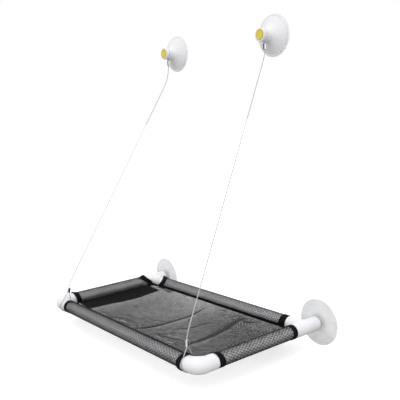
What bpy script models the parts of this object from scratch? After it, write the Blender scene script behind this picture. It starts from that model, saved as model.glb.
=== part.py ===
"""Cat hammock that hangs on a window: pipe frame, mesh bed, two steel cables and four suction cups.

Units are metres, +Z is up, X runs along the window and +Y points at the glass.
The glass is the plane y = 0, and the axes of the four rails lie in the plane z = 0.
"""
import math

import bmesh
import bpy
from mathutils import Euler, Matrix, Vector

# Overall layout
RAIL_SPACING_X = 0.520
RAIL_SPACING_Y = 0.2633
GLASS_TO_BACK_RAIL = 0.0437
UPPER_CUP_HEIGHT = 0.5646
UPPER_CUP_SPACING = 0.3225
FIT_GAP = 0.0003
CUT_OVERRUN = 0.004

# Pipe frame
TUBE_RADIUS = 0.0118
TUBE_WALL = 0.0018
FITTING_RADIUS = 0.0140
FITTING_BORE = 0.0094
RIM_CHAMFER = 0.0008
ELBOW_BEND = 0.021
ELBOW_SWELL = 0.0012
ELBOW_LEG = 0.0385
ELBOW_STOP = 0.0226
TEE_FRONT_LEG = 0.0310
TEE_BRANCH_LEG = 0.0385
BRANCH_STEP = 0.0002
TEE_TO_GLASS = 0.0105
SOCKET_RADIUS = TUBE_RADIUS + FIT_GAP

# Lower cups, with the ball that each one turns on and the plug that holds the ball
LOWER_CUP_RADIUS = 0.0465
LOWER_LIP_WIDTH = 0.0125
LOWER_LIP_THICKNESS = 0.0010
LOWER_SKIRT_RADIUS = 0.0300
LOWER_SKIRT_THICKNESS = 0.0017
LOWER_SHOULDER_RADIUS = 0.0110
LOWER_SHOULDER_THICKNESS = 0.0030
NECK_FILLET = 0.0024
RECESS_DEPTH = 0.0006
NECK_RADIUS = 0.0055
BALL_RADIUS = 0.0078
PIVOT_TO_GLASS = 0.0175
PLUG_LEAD = 0.0020
PLUG_BACK_WALL = 0.0026

# Upper cups: pad, cover with its hub, stud, washer, knob, nut and face disc
PAD_RADIUS = 0.0416
PAD_LIP_WIDTH = 0.0110
PAD_LIP_THICKNESS = 0.0014
PAD_EDGE_RADIUS = 0.0393
PAD_EDGE_THICKNESS = 0.0023
PAD_CROWN_RADIUS = 0.0120
PAD_CROWN_THICKNESS = 0.0092
PAD_BOSS_RADIUS = 0.0082
PAD_BOSS_THICKNESS = 0.0125
POCKET_FLOOR = 0.0045
STUD_RADIUS = 0.0030
STUD_HEAD_RADIUS = 0.0060
STUD_HEAD_THICKNESS = 0.0014
STUD_END = 0.0366
COVER_RADIUS = 0.0395
COVER_WALL = 0.0021
COVER_RIM_BASE = 0.0030
COVER_RIM_TOP = 0.0054
COVER_RIM_WIDTH = 0.0024
COVER_GROOVE_DEPTH = 0.0005
CONE_FOOT_RADIUS = 0.0345
CONE_FOOT_HEIGHT = 0.0068
CONE_WAIST_RADIUS = 0.0240
CONE_WAIST_HEIGHT = 0.0124
CONE_TOP_RADIUS = 0.0150
CONE_TOP_HEIGHT = 0.0182
HUB_RADIUS = 0.0133
HUB_BASE = 0.0200
HUB_FACE = 0.0310
HUB_FLOOR = 0.0160
WASHER_RADIUS = 0.0120
WASHER_THICKNESS = 0.0006
KNOB_LENGTH = 0.0078
KNOB_CHAMFER = 0.0007
KNOB_FRONT_WALL = 0.0020
NUT_RADIUS = 0.0056
DISC_RADIUS = 0.0095
DISC_THICKNESS = 0.0008
DISC_CHAMFER = 0.0002
DISC_RECESS = 0.0007

# Cables and their ferrules
CABLE_RADIUS = 0.0009
LOOP_PLANE = 0.0275
LOOP_RADIUS = STUD_RADIUS + CABLE_RADIUS + 2 * FIT_GAP
SLOT_CLEARANCE = 0.0006
LANE_OFFSET = 0.00145
FERRULE_WIDTH = 0.0060
FERRULE_THICKNESS = 0.0040
FERRULE_LENGTH = 0.0105
UPPER_FERRULE_DROP = 0.0170
TAIL_LENGTH = 0.0012
NOOSE_INSETS = {"left": 0.0344, "right": 0.0248}
NOOSE_LIFTS = {"left": 0.0300, "right": 0.0282}
NOOSE_LEANS = {"left": math.radians(11), "right": math.radians(6.5)}
NOOSE_SIDE_LEAN = math.radians(7)
NOOSE_RADIUS = FITTING_RADIUS + CABLE_RADIUS + FIT_GAP
UPPER_BEND_LENGTHS = {"left": 0.024, "right": 0.006}
UPPER_BEND_REACH = 0.030
LOWER_BEND_LENGTH = 0.006
LOWER_BEND_REACH = 0.020
LOOP_LAP = math.radians(20)
NOOSE_OPENING = math.radians(40)

# Cloth: sleeves on the rails, binding rings, seam tapes, bed panel, flap and corner pipings
CLOTH_THICKNESS = 0.0006
SLEEVE_THICKNESS = 0.0012
SLEEVE_RADIUS = TUBE_RADIUS + FIT_GAP + SLEEVE_THICKNESS
SLEEVE_END_GAP = 0.0009
FRONT_SLEEVE_LAP = 0.0105
LEFT_SLEEVE_LAP = 0.0095
FRONT_BARE_RAIL = 0.0086
BACK_BARE_RAIL = 0.0046
SLEEVE_RAMP = 0.0030
RING_WIDTH = 0.0115
RING_RADIUS = SLEEVE_RADIUS + FIT_GAP + CLOTH_THICKNESS
LAPPED_RING_RADIUS = RING_RADIUS + FITTING_RADIUS - TUBE_RADIUS
TAPE_WIDTH = 0.0042
TAPE_END_GAP = 0.0020
BACK_TAPE_ANGLE = math.radians(-33)
FRONT_TAPE_ANGLE = math.radians(60)
PANEL_THICKNESS = 0.0009
PANEL_EDGE_DROP = 0.0088
PANEL_SAG = 0.0205
PIPING_RADIUS = 0.0014
PIPING_REAR_LEG = 0.0260
CROTCH_RADIUS = 0.0060
FOLD_HEIGHT = 0.0030
FOLD_WIDTH = 0.0100
FOLD_SHARES = ((0.055, -0.09), (0.510, -0.010))
FLAP_LIFT = 0.0007
FLAP_THICKNESS = 0.0008
FLAP_EDGE_GAP = 0.0012
FLAP_CORNER_CUT = 0.0030
FLAP_SPAN_SHARES = (-0.74, 0.87)
FLAP_INNER_SHARES = (0.804, 0.815, 0.824, 0.807, 0.792, 0.790, 0.778)
CORNER_COLUMN_SHARES = (0, 0.5, 0.87, 1)

# Counts of sides, and the angle past which an edge stays sharp
PIPE_SIDES = 24
CUP_SIDES = 30
SMALL_SIDES = 16
BEND_STEPS = 6
BORE_BEND_STEPS = 3
BALL_STEPS = 6
PANEL_HALF_COLUMNS = 11
PANEL_ROWS = 12
FLAP_COLUMNS = 6
TAPE_STEPS = 3
PIPING_STEPS = 5
LOOP_STEPS = 11
NOOSE_STEPS = 14
RUN_STEPS = 8
UPPER_BEND_STEPS = 6
LOWER_BEND_STEPS = 4
CABLE_ROUND_STEPS = 2
PIPING_ROUND_STEPS = 1
SHARP_ANGLE = math.radians(32)
QUARTER_TURN = math.radians(90)

SIDES = {"left": -1, "right": 1}
SIDE_RAIL_X = RAIL_SPACING_X / 2
BACK_RAIL_Y = -GLASS_TO_BACK_RAIL
FRONT_RAIL_Y = BACK_RAIL_Y - RAIL_SPACING_Y
UPPER_CUP_X = UPPER_CUP_SPACING / 2
TEE_REAR_LEG = GLASS_TO_BACK_RAIL - TEE_TO_GLASS
BALL_SOCKET_RADIUS = BALL_RADIUS + FIT_GAP
PLUG_BACK = PIVOT_TO_GLASS + BALL_SOCKET_RADIUS + PLUG_BACK_WALL
KNOB_BACK = HUB_FACE + WASHER_THICKNESS + 2 * FIT_GAP
KNOB_FRONT = KNOB_BACK + KNOB_LENGTH
FACING_ROOM = Euler((QUARTER_TURN, 0, 0))
ALONG_X = Euler((0, QUARTER_TURN, 0))
ALONG_Y = Euler((-QUARTER_TURN, 0, 0))


def clear_scene():
    for item in list(bpy.data.objects):
        bpy.data.objects.remove(item, do_unlink=True)


def make_material(name, colour, roughness, metallic=0.0):
    """A Principled material in one colour."""
    material = bpy.data.materials.new(name)
    material.use_nodes = True
    shader = material.node_tree.nodes["Principled BSDF"]
    shader.inputs["Base Color"].default_value = (*colour, 1.0)
    shader.inputs["Roughness"].default_value = roughness
    shader.inputs["Metallic"].default_value = metallic
    return material


def place(name, data, material, location=(0, 0, 0), rotation=None):
    """Link an object with its own material at its place."""
    data.materials.clear()
    data.materials.append(material)
    item = bpy.data.objects.new(name, data)
    item.location = location
    if rotation:
        item.rotation_euler = rotation
    bpy.context.scene.collection.objects.link(item)
    return item


def finish_mesh(name, shape):
    """Turn a closed bmesh into a mesh that faces outward, round where it should be."""
    bmesh.ops.recalc_face_normals(shape, faces=shape.faces)
    mesh = bpy.data.meshes.new(name)
    shape.to_mesh(mesh)
    shape.free()
    mesh.shade_smooth()
    mesh.set_sharp_from_angle(angle=SHARP_ANGLE)
    return mesh


def bridge(shape, ring, following):
    """Join two rings of points, where a ring of one point is the tip of a cone."""
    count = max(len(ring), len(following))
    for index in range(count):
        after = (index + 1) % count
        if len(ring) == 1:
            corners = (ring[0], following[index], following[after])
        elif len(following) == 1:
            corners = (ring[index], following[0], ring[after])
        else:
            corners = (ring[index], following[index], following[after], ring[after])
        shape.faces.new(corners)


def skin(rings, closed=False, capped=False):
    """A bmesh over a chain of rings, each a list of places."""
    shape = bmesh.new()
    chain = [[shape.verts.new(spot) for spot in ring] for ring in rings]
    for ring, following in zip(chain, chain[1:]):
        bridge(shape, ring, following)
    if closed:
        bridge(shape, chain[-1], chain[0])
    if capped:
        shape.faces.new(chain[0])
        shape.faces.new(chain[-1])
    return shape


def turn_angles(sides):
    return [2 * math.pi * index / sides for index in range(sides)]


def circle(radius, height, sides):
    """Places on a circle about Z, or its centre alone where the radius is zero."""
    if radius == 0:
        return [(0, 0, height)]
    return [(radius * math.cos(turn), radius * math.sin(turn), height) for turn in turn_angles(sides)]


def turned(name, profile, sides):
    """Turn a profile of (radius, height) about Z; one that stays off the axis closes on itself."""
    rings = [circle(radius, height, sides) for radius, height in profile]
    return finish_mesh(name, skin(rings, closed=profile[0][0] != 0))


def pipe_profile(outer, inner, start, end, chamfer=0.0):
    """The section of a pipe between two heights, with chamfered outer rims."""
    profile = [(inner, start), (outer - chamfer, start)]
    if chamfer:
        profile += [(outer, start + chamfer), (outer, end - chamfer)]
    profile += [(outer - chamfer, end), (inner, end)]
    return profile


def rod_profile(radius, start, end, chamfer):
    """The section of a solid rod between two heights."""
    return [(0, start), (radius - chamfer, start), (radius, start + chamfer),
            (radius, end - chamfer), (radius - chamfer, end), (0, end)]


def hide_cutter(item):
    item.hide_render = True
    item.display_type = "WIRE"


def combine(item, tool, operation):
    """Cut an object by a hidden tool, or join the tool to it."""
    hide_cutter(tool)
    modifier = item.modifiers.new(tool.name, "BOOLEAN")
    modifier.operation = operation
    modifier.object = tool


def rail_tubes(material):
    """Four straight pipes that end inside the fittings."""
    elbow_end = ELBOW_STOP + FIT_GAP
    front_half = SIDE_RAIL_X - elbow_end
    back_half = SIDE_RAIL_X - TUBE_RADIUS - FIT_GAP
    inner = TUBE_RADIUS - TUBE_WALL
    for name, half, y in (("front_rail", front_half, FRONT_RAIL_Y), ("back_rail", back_half, BACK_RAIL_Y)):
        mesh = turned(name, pipe_profile(TUBE_RADIUS, inner, -half, half), PIPE_SIDES)
        place(name, mesh, material, (0, y, 0), ALONG_X)
    start = FRONT_RAIL_Y + elbow_end
    end = -PLUG_BACK - FIT_GAP
    for side, sign in SIDES.items():
        name = f"{side}_side_rail"
        mesh = turned(name, pipe_profile(TUBE_RADIUS, inner, start, end), PIPE_SIDES)
        place(name, mesh, material, (sign * SIDE_RAIL_X, 0, 0), ALONG_Y)


def elbow_station(leg, distance):
    """Centre and heading on one straight leg of an elbow, at a distance from its corner."""
    if leg == "first":
        return Vector((-distance, 0, 0)), Vector((1, 0, 0))
    return Vector((0, distance, 0)), Vector((0, 1, 0))


def elbow_ring(centre, heading, radius):
    across = Vector((-heading.y, heading.x, 0))
    up = Vector((0, 0, 1))
    turns = turn_angles(PIPE_SIDES)
    return [centre + radius * (math.cos(turn) * across + math.sin(turn) * up) for turn in turns]


def elbow_arc(radius, swell, steps):
    """Rings round the quarter bend of an elbow, which swells towards the middle."""
    rings = []
    middle = Vector((-ELBOW_BEND, ELBOW_BEND, 0))
    for step in range(steps + 1):
        turn = QUARTER_TURN * (step / steps - 1)
        outward = Vector((math.cos(turn), math.sin(turn), 0))
        heading = Vector((-math.sin(turn), math.cos(turn), 0))
        fullness = radius + swell * math.sin(math.pi * step / steps)
        rings.append(elbow_ring(middle + ELBOW_BEND * outward, heading, fullness))
    return rings


def elbow_mesh():
    """A bent pipe whose legs open into sockets, with its corner at the origin."""
    def leg_ring(leg, distance, radius):
        centre, heading = elbow_station(leg, distance)
        return elbow_ring(centre, heading, radius)

    rim = FITTING_RADIUS - RIM_CHAMFER
    shoulder = ELBOW_LEG - RIM_CHAMFER
    rings = [leg_ring("first", ELBOW_LEG, rim), leg_ring("first", shoulder, FITTING_RADIUS)]
    rings += elbow_arc(FITTING_RADIUS, ELBOW_SWELL, BEND_STEPS)
    rings += [leg_ring("second", shoulder, FITTING_RADIUS), leg_ring("second", ELBOW_LEG, rim)]
    rings += [leg_ring("second", ELBOW_LEG, SOCKET_RADIUS), leg_ring("second", ELBOW_STOP, SOCKET_RADIUS)]
    rings += [leg_ring("second", ELBOW_STOP, FITTING_BORE)]
    rings += reversed(elbow_arc(FITTING_BORE, 0, BORE_BEND_STEPS))
    rings += [leg_ring("first", ELBOW_STOP, FITTING_BORE), leg_ring("first", ELBOW_STOP, SOCKET_RADIUS)]
    rings += [leg_ring("first", ELBOW_LEG, SOCKET_RADIUS)]
    return finish_mesh("corner_elbow", skin(rings, closed=True))


def corner_elbows(material):
    mesh = elbow_mesh()
    turns = {"left": -QUARTER_TURN, "right": 0}
    for side, sign in SIDES.items():
        spot = (sign * SIDE_RAIL_X, FRONT_RAIL_Y, 0)
        place(f"{side}_front_elbow", mesh, material, spot, Euler((0, 0, turns[side])))


def rear_tees(material):
    """Tees whose run slides over the side rail, with the back rail in the branch."""
    for side, sign in SIDES.items():
        spot = (sign * SIDE_RAIL_X, BACK_RAIL_Y, 0)
        towards_middle = Euler((0, -QUARTER_TURN * sign, 0))
        name = f"{side}_rear_tee"
        run = rod_profile(FITTING_RADIUS, -TEE_FRONT_LEG, TEE_REAR_LEG, RIM_CHAMFER)
        tee = place(name, turned(name, run, PIPE_SIDES), material, spot, ALONG_Y)
        branch_radius = FITTING_RADIUS - BRANCH_STEP
        branch = rod_profile(branch_radius, 0, TEE_BRANCH_LEG, RIM_CHAMFER)
        arm = place(f"{name}_branch", turned("branch", branch, PIPE_SIDES), material, spot, towards_middle)
        combine(tee, arm, "UNION")
        run_bore = [(0, -TEE_FRONT_LEG - CUT_OVERRUN), (SOCKET_RADIUS, -TEE_FRONT_LEG - CUT_OVERRUN),
                    (SOCKET_RADIUS, TEE_REAR_LEG + CUT_OVERRUN), (0, TEE_REAR_LEG + CUT_OVERRUN)]
        bore = place(f"{name}_run_bore", turned("run_bore", run_bore, PIPE_SIDES), material, spot, ALONG_Y)
        combine(tee, bore, "DIFFERENCE")
        socket = SOCKET_RADIUS - BRANCH_STEP / 2
        branch_bore = [(0, 0), (socket, 0), (socket, TEE_BRANCH_LEG + CUT_OVERRUN),
                       (0, TEE_BRANCH_LEG + CUT_OVERRUN)]
        bore = place(f"{name}_branch_bore", turned("branch_bore", branch_bore, PIPE_SIDES), material,
                     spot, towards_middle)
        combine(tee, bore, "DIFFERENCE")


def sphere_profile(centre, radius, start, end):
    """Points on a half circle about the axis, between two angles measured from +Z."""
    points = []
    for step in range(BALL_STEPS + 1):
        turn = start + (end - start) * step / BALL_STEPS
        points.append((radius * math.sin(turn), centre + radius * math.cos(turn)))
    return points


def ball_plugs(material):
    """Plugs in the rear arms of the tees, each with a round socket for the ball of a lower cup."""
    mouth_turn = math.acos(-PLUG_LEAD / BALL_SOCKET_RADIUS)
    front = PIVOT_TO_GLASS - PLUG_LEAD
    cup = sphere_profile(PIVOT_TO_GLASS, BALL_SOCKET_RADIUS, 0, mouth_turn)
    profile = [(0, cup[0][1])] + cup[1:-1] + [(cup[-1][0], front)]
    outer = TUBE_RADIUS
    profile += [(outer - RIM_CHAMFER, front), (outer, front + RIM_CHAMFER), (outer, PLUG_BACK), (0, PLUG_BACK)]
    mesh = turned("ball_plug", profile, PIPE_SIDES)
    for side, sign in SIDES.items():
        place(f"{side}_ball_plug", mesh, material, (sign * SIDE_RAIL_X, 0, 0), FACING_ROOM)


def lower_cups(material):
    """Flat discs pressed on the glass, each with a neck and ball towards the frame."""
    lip_inner = LOWER_CUP_RADIUS - LOWER_LIP_WIDTH
    neck_turn = math.pi - math.asin(NECK_RADIUS / BALL_RADIUS)
    ball = sphere_profile(PIVOT_TO_GLASS, BALL_RADIUS, neck_turn, 0)
    profile = [(0, RECESS_DEPTH), (lip_inner - RECESS_DEPTH, RECESS_DEPTH), (lip_inner, 0),
               (LOWER_CUP_RADIUS, 0), (LOWER_CUP_RADIUS, LOWER_LIP_THICKNESS),
               (LOWER_SKIRT_RADIUS, LOWER_SKIRT_THICKNESS),
               (LOWER_SHOULDER_RADIUS, LOWER_SHOULDER_THICKNESS),
               (NECK_RADIUS, LOWER_SHOULDER_THICKNESS + NECK_FILLET)]
    profile += ball[:-1] + [(0, ball[-1][1])]
    mesh = turned("lower_cup", profile, CUP_SIDES)
    for side, sign in SIDES.items():
        place(f"{side}_lower_cup", mesh, material, (sign * SIDE_RAIL_X, 0, 0), FACING_ROOM)


def pad_profile():
    """Soft pad: flat lip on the glass, and a boss that grips the head of the stud."""
    lip_inner = PAD_RADIUS - PAD_LIP_WIDTH
    pocket = STUD_HEAD_RADIUS + FIT_GAP
    pocket_top = POCKET_FLOOR + STUD_HEAD_THICKNESS + 2 * FIT_GAP
    mouth = STUD_RADIUS + FIT_GAP
    return [(0, RECESS_DEPTH), (lip_inner - RECESS_DEPTH, RECESS_DEPTH), (lip_inner, 0), (PAD_RADIUS, 0),
            (PAD_RADIUS, PAD_LIP_THICKNESS), (PAD_EDGE_RADIUS, PAD_EDGE_THICKNESS),
            (CONE_FOOT_RADIUS, COVER_RIM_BASE), (CONE_WAIST_RADIUS, CONE_FOOT_HEIGHT),
            (PAD_CROWN_RADIUS, PAD_CROWN_THICKNESS), (PAD_BOSS_RADIUS, PAD_BOSS_THICKNESS),
            (mouth, PAD_BOSS_THICKNESS), (mouth, pocket_top), (pocket, pocket_top), (pocket, POCKET_FLOOR),
            (0, POCKET_FLOOR)]


def cover_profile():
    """Stiff cover: rim bead, hollow cone and the hub that the knob presses on."""
    groove = COVER_RADIUS - COVER_RIM_WIDTH
    bore = STUD_RADIUS + FIT_GAP
    outside = [(COVER_RADIUS, COVER_RIM_BASE), (COVER_RADIUS - COVER_GROOVE_DEPTH, COVER_RIM_TOP),
               (groove, COVER_RIM_TOP - COVER_GROOVE_DEPTH), (CONE_FOOT_RADIUS, CONE_FOOT_HEIGHT),
               (CONE_WAIST_RADIUS, CONE_WAIST_HEIGHT), (CONE_TOP_RADIUS, CONE_TOP_HEIGHT),
               (HUB_RADIUS, HUB_BASE), (HUB_RADIUS, HUB_FACE - KNOB_CHAMFER),
               (HUB_RADIUS - KNOB_CHAMFER, HUB_FACE), (bore, HUB_FACE)]
    inside = [(bore, HUB_FLOOR), (CONE_TOP_RADIUS - COVER_WALL, HUB_FLOOR),
              (CONE_WAIST_RADIUS, CONE_WAIST_HEIGHT - COVER_WALL),
              (CONE_FOOT_RADIUS - COVER_WALL, CONE_FOOT_HEIGHT - COVER_WALL),
              (COVER_RADIUS - COVER_WALL, COVER_RIM_BASE)]
    return outside + inside


def slot_box(name, half_width, depth, height_below, height_above):
    """A box round the loop plane, in the frame of a cup."""
    shape = bmesh.new()
    bmesh.ops.create_cube(shape, size=1)
    size = Vector((2 * half_width, height_below + height_above, depth))
    middle = Vector((0, (height_above - height_below) / 2, LOOP_PLANE))
    shape.transform(Matrix.Translation(middle) @ Matrix.Diagonal(size).to_4x4())
    return finish_mesh(name, shape)


def knob_profile():
    """Knob shell with a pocket for the nut behind and a shallow recess for the disc in front."""
    pocket = NUT_RADIUS + FIT_GAP
    recess = DISC_RADIUS + FIT_GAP
    return [(0, KNOB_FRONT - KNOB_FRONT_WALL), (pocket, KNOB_FRONT - KNOB_FRONT_WALL), (pocket, KNOB_BACK),
            (HUB_RADIUS - KNOB_CHAMFER, KNOB_BACK), (HUB_RADIUS, KNOB_BACK + KNOB_CHAMFER),
            (HUB_RADIUS, KNOB_FRONT - KNOB_CHAMFER), (HUB_RADIUS - KNOB_CHAMFER, KNOB_FRONT),
            (recess, KNOB_FRONT), (recess, KNOB_FRONT - DISC_RECESS), (0, KNOB_FRONT - DISC_RECESS)]


def upper_cups(materials):
    """Lever cups: everything is turned about the stud, square to the glass."""
    washer_base = HUB_FACE + FIT_GAP
    nut_end = KNOB_FRONT - KNOB_FRONT_WALL - FIT_GAP
    disc_base = KNOB_FRONT - DISC_RECESS + FIT_GAP
    stud_base = POCKET_FLOOR + FIT_GAP
    stud_head_top = stud_base + STUD_HEAD_THICKNESS
    stud = [(0, stud_base), (STUD_HEAD_RADIUS, stud_base), (STUD_HEAD_RADIUS, stud_head_top),
            (STUD_RADIUS, stud_head_top), (STUD_RADIUS, STUD_END), (0, STUD_END)]
    bore = STUD_RADIUS + FIT_GAP
    pieces = {
        "suction_pad": (pad_profile(), CUP_SIDES, "clear_vinyl"),
        "cup_cover": (cover_profile(), CUP_SIDES, "white_plastic"),
        "cup_stud": (stud, SMALL_SIDES, "steel"),
        "knob_washer": (pipe_profile(WASHER_RADIUS, bore, washer_base, washer_base + WASHER_THICKNESS),
                        PIPE_SIDES, "steel"),
        "knob": (knob_profile(), CUP_SIDES, "white_plastic"),
        "knob_nut": (pipe_profile(NUT_RADIUS, bore, KNOB_BACK + FIT_GAP, nut_end), SMALL_SIDES, "brass"),
        "knob_disc": (rod_profile(DISC_RADIUS, disc_base, disc_base + DISC_THICKNESS, DISC_CHAMFER),
                      CUP_SIDES, "yellow_plastic"),
    }
    slot_half = LOOP_RADIUS + CABLE_RADIUS + FIT_GAP
    slot_depth = 2 * CABLE_RADIUS + 2 * SLOT_CLEARANCE
    slot_mesh = slot_box("cable_slot", slot_half, slot_depth, HUB_RADIUS + CUT_OVERRUN, slot_half)
    for piece, (profile, sides, material) in pieces.items():
        mesh = turned(piece, profile, sides)
        for side, sign in SIDES.items():
            spot = (sign * UPPER_CUP_X, 0, UPPER_CUP_HEIGHT)
            item = place(f"{side}_{piece}", mesh, materials[material], spot, FACING_ROOM)
            if piece == "cup_cover":
                slot = place(f"{side}_cable_slot", slot_mesh, materials[material], spot, FACING_ROOM)
                combine(item, slot, "DIFFERENCE")


def noose_frame(side):
    """Centre of the noose, the direction of its pull and the direction across it to the front."""
    centre = Vector((SIDES[side] * (SIDE_RAIL_X - NOOSE_INSETS[side]), FRONT_RAIL_Y, 0))
    sideways = -SIDES[side] * math.tan(NOOSE_SIDE_LEAN)
    pull = Vector((sideways, math.tan(NOOSE_LEANS[side]), 1)).normalized()
    forward = Vector((1, 0, 0)).cross(pull).normalized()
    return centre, pull, forward


def turns_between(start, end, steps):
    return [start + (end - start) * step / steps for step in range(steps + 1)]


def curved_run(start, corner, end, count):
    """Points on a parabola that leaves start towards corner and meets end from corner."""
    points = []
    for step in range(count + 1):
        share = step / count
        points.append(start * (1 - share) ** 2 + corner * 2 * share * (1 - share) + end * share ** 2)
    return points


def cable_route(side):
    """Tail, loop over the stud, run down to the corner, noose round the elbow and second tail."""
    sign = SIDES[side]
    stud = Vector((sign * UPPER_CUP_X, -LOOP_PLANE, UPPER_CUP_HEIGHT))
    lane = Vector((sign * LANE_OFFSET, 0, 0))
    ferrule_top = stud - Vector((0, 0, UPPER_FERRULE_DROP))
    ferrule_end = ferrule_top - Vector((0, 0, FERRULE_LENGTH + TAIL_LENGTH))
    route = [ferrule_end - lane, ferrule_top - lane]
    for turn in turns_between(math.pi + LOOP_LAP, -LOOP_LAP, LOOP_STEPS):
        route.append(stud + LOOP_RADIUS * Vector((sign * math.cos(turn), 0, math.sin(turn))))
    route += [ferrule_top + lane]

    centre, pull, forward = noose_frame(side)
    lift = NOOSE_LIFTS[side]
    front_lane = centre + forward * LANE_OFFSET
    back_lane = centre - forward * LANE_OFFSET
    catch = front_lane + pull * (lift + FERRULE_LENGTH + TAIL_LENGTH)
    leave = ferrule_end + lane
    run = (catch - leave).normalized()
    bend = Vector((0, 0, -UPPER_BEND_LENGTHS[side]))
    top_end = leave + bend + run * UPPER_BEND_REACH
    low_corner = catch + pull * LOWER_BEND_LENGTH
    low_start = low_corner - run * LOWER_BEND_REACH
    route += curved_run(leave, leave + bend, top_end, UPPER_BEND_STEPS)
    span = low_start - top_end
    route += [top_end + span * step / RUN_STEPS for step in range(1, RUN_STEPS)]
    route += curved_run(low_start, low_corner, catch, LOWER_BEND_STEPS)

    route += [front_lane + pull * lift]
    for turn in turns_between(NOOSE_OPENING, 2 * math.pi - NOOSE_OPENING, NOOSE_STEPS):
        route.append(centre + NOOSE_RADIUS * (math.cos(turn) * pull + math.sin(turn) * forward))
    route += [back_lane + pull * lift]
    route += [back_lane + pull * (lift + FERRULE_LENGTH + TAIL_LENGTH)]
    return route


def cables(material):
    for side in SIDES:
        route = cable_route(side)
        curve = bpy.data.curves.new(f"{side}_cable", "CURVE")
        curve.dimensions = "3D"
        curve.bevel_depth = CABLE_RADIUS
        curve.bevel_resolution = CABLE_ROUND_STEPS
        curve.use_fill_caps = True
        spline = curve.splines.new("POLY")
        spline.points.add(len(route) - 1)
        for point, spot in zip(spline.points, route):
            point.co = (*spot, 1)
        place(f"{side}_cable", curve, material)


def ferrule_mesh():
    """Flattened sleeve with two lanes, pressed round two strands; its length runs along Z."""
    shape = bmesh.new()
    half_straight = (FERRULE_WIDTH - FERRULE_THICKNESS) / 2
    corner = FERRULE_THICKNESS / 2
    outline = []
    for step in range(SMALL_SIDES):
        turn = 2 * math.pi * (step + 0.5) / SMALL_SIDES
        shift = math.copysign(half_straight, math.cos(turn))
        outline.append((shift + corner * math.cos(turn), corner * math.sin(turn), 0))
    loops = [outline]
    for sign in SIDES.values():
        lane = CABLE_RADIUS + FIT_GAP
        loops.append([(sign * LANE_OFFSET + x, y, 0) for x, y, z in circle(lane, 0, SMALL_SIDES // 2)])
    edges = []
    for loop in loops:
        verts = [shape.verts.new(spot) for spot in loop]
        edges += [shape.edges.new((verts[index - 1], verts[index])) for index in range(len(verts))]
    bmesh.ops.triangle_fill(shape, edges=edges, use_beauty=True)
    walls = bmesh.ops.extrude_face_region(shape, geom=list(shape.faces))
    raised = [part for part in walls["geom"] if isinstance(part, bmesh.types.BMVert)]
    bmesh.ops.translate(shape, verts=raised, vec=(0, 0, FERRULE_LENGTH))
    return finish_mesh("ferrule", shape)


def ferrules(material):
    mesh = ferrule_mesh()
    for side, sign in SIDES.items():
        top = UPPER_CUP_HEIGHT - UPPER_FERRULE_DROP - FERRULE_LENGTH
        place(f"{side}_upper_ferrule", mesh, material, (sign * UPPER_CUP_X, -LOOP_PLANE, top))
        centre, pull, forward = noose_frame(side)
        turn = Matrix((forward, pull.cross(forward), pull)).transposed().to_euler()
        place(f"{side}_lower_ferrule", mesh, material, centre + pull * NOOSE_LIFTS[side], turn)


def cloth_spans():
    """Every sleeve: name, turn, place of its rail's axis, both ends, and the rim it laps over if it does."""
    x_end = SIDE_RAIL_X - ELBOW_LEG - SLEEVE_END_GAP
    x_back = SIDE_RAIL_X - TEE_BRANCH_LEG - SLEEVE_END_GAP
    y_start = FRONT_RAIL_Y + ELBOW_LEG + SLEEVE_END_GAP
    y_end = BACK_RAIL_Y - TEE_FRONT_LEG - SLEEVE_END_GAP
    elbow_rim = SIDE_RAIL_X - ELBOW_LEG - FIT_GAP
    tee_rim = BACK_RAIL_Y - TEE_FRONT_LEG - FIT_GAP
    front = (FRONT_BARE_RAIL - x_end, elbow_rim + FRONT_SLEEVE_LAP, elbow_rim)
    back = (BACK_BARE_RAIL - x_back, x_back, None)
    left = (y_start, tee_rim + LEFT_SLEEVE_LAP, tee_rim)
    right = (y_start, y_end, None)
    return (("front", ALONG_X, (0, FRONT_RAIL_Y, 0), *front),
            ("back", ALONG_X, (0, BACK_RAIL_Y, 0), *back),
            ("left", ALONG_Y, (-SIDE_RAIL_X, 0, 0), *left),
            ("right", ALONG_Y, (SIDE_RAIL_X, 0, 0), *right))


def widening(spot, rim):
    """How much wider a band of cloth is at a place along its rail, to pass over the rim of a fitting."""
    share = (spot - rim) / SLEEVE_RAMP + 1
    return (FITTING_RADIUS - TUBE_RADIUS) * min(1, max(0, share))


def band_profile(inner, thickness, low, high, rim):
    """The section of a band of cloth, which widens where it laps over a rim."""
    if rim is None or rim > high:
        return pipe_profile(inner + thickness, inner, low, high)
    spots = [low] + [spot for spot in (rim - SLEEVE_RAMP, rim) if spot > low] + [high]
    inside = [(inner + widening(spot, rim), spot) for spot in spots]
    return inside + [(radius + thickness, spot) for radius, spot in reversed(inside)]


def sleeves_and_rings(mesh_cloth, black_cloth):
    """Cloth tubes round the rails, each with a black binding ring at both ends."""
    for rail, turn, spot, start, end, rim in cloth_spans():
        name = f"{rail}_sleeve"
        section = band_profile(TUBE_RADIUS + FIT_GAP, SLEEVE_THICKNESS, start, end, rim)
        place(name, turned(name, section, PIPE_SIDES), mesh_cloth, spot, turn)
        for mark, low in (("a", start), ("b", end - RING_WIDTH)):
            name = f"{rail}_binding_{mark}"
            section = band_profile(SLEEVE_RADIUS + FIT_GAP, CLOTH_THICKNESS, low, low + RING_WIDTH, rim)
            place(name, turned(name, section, PIPE_SIDES), black_cloth, spot, turn)


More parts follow.
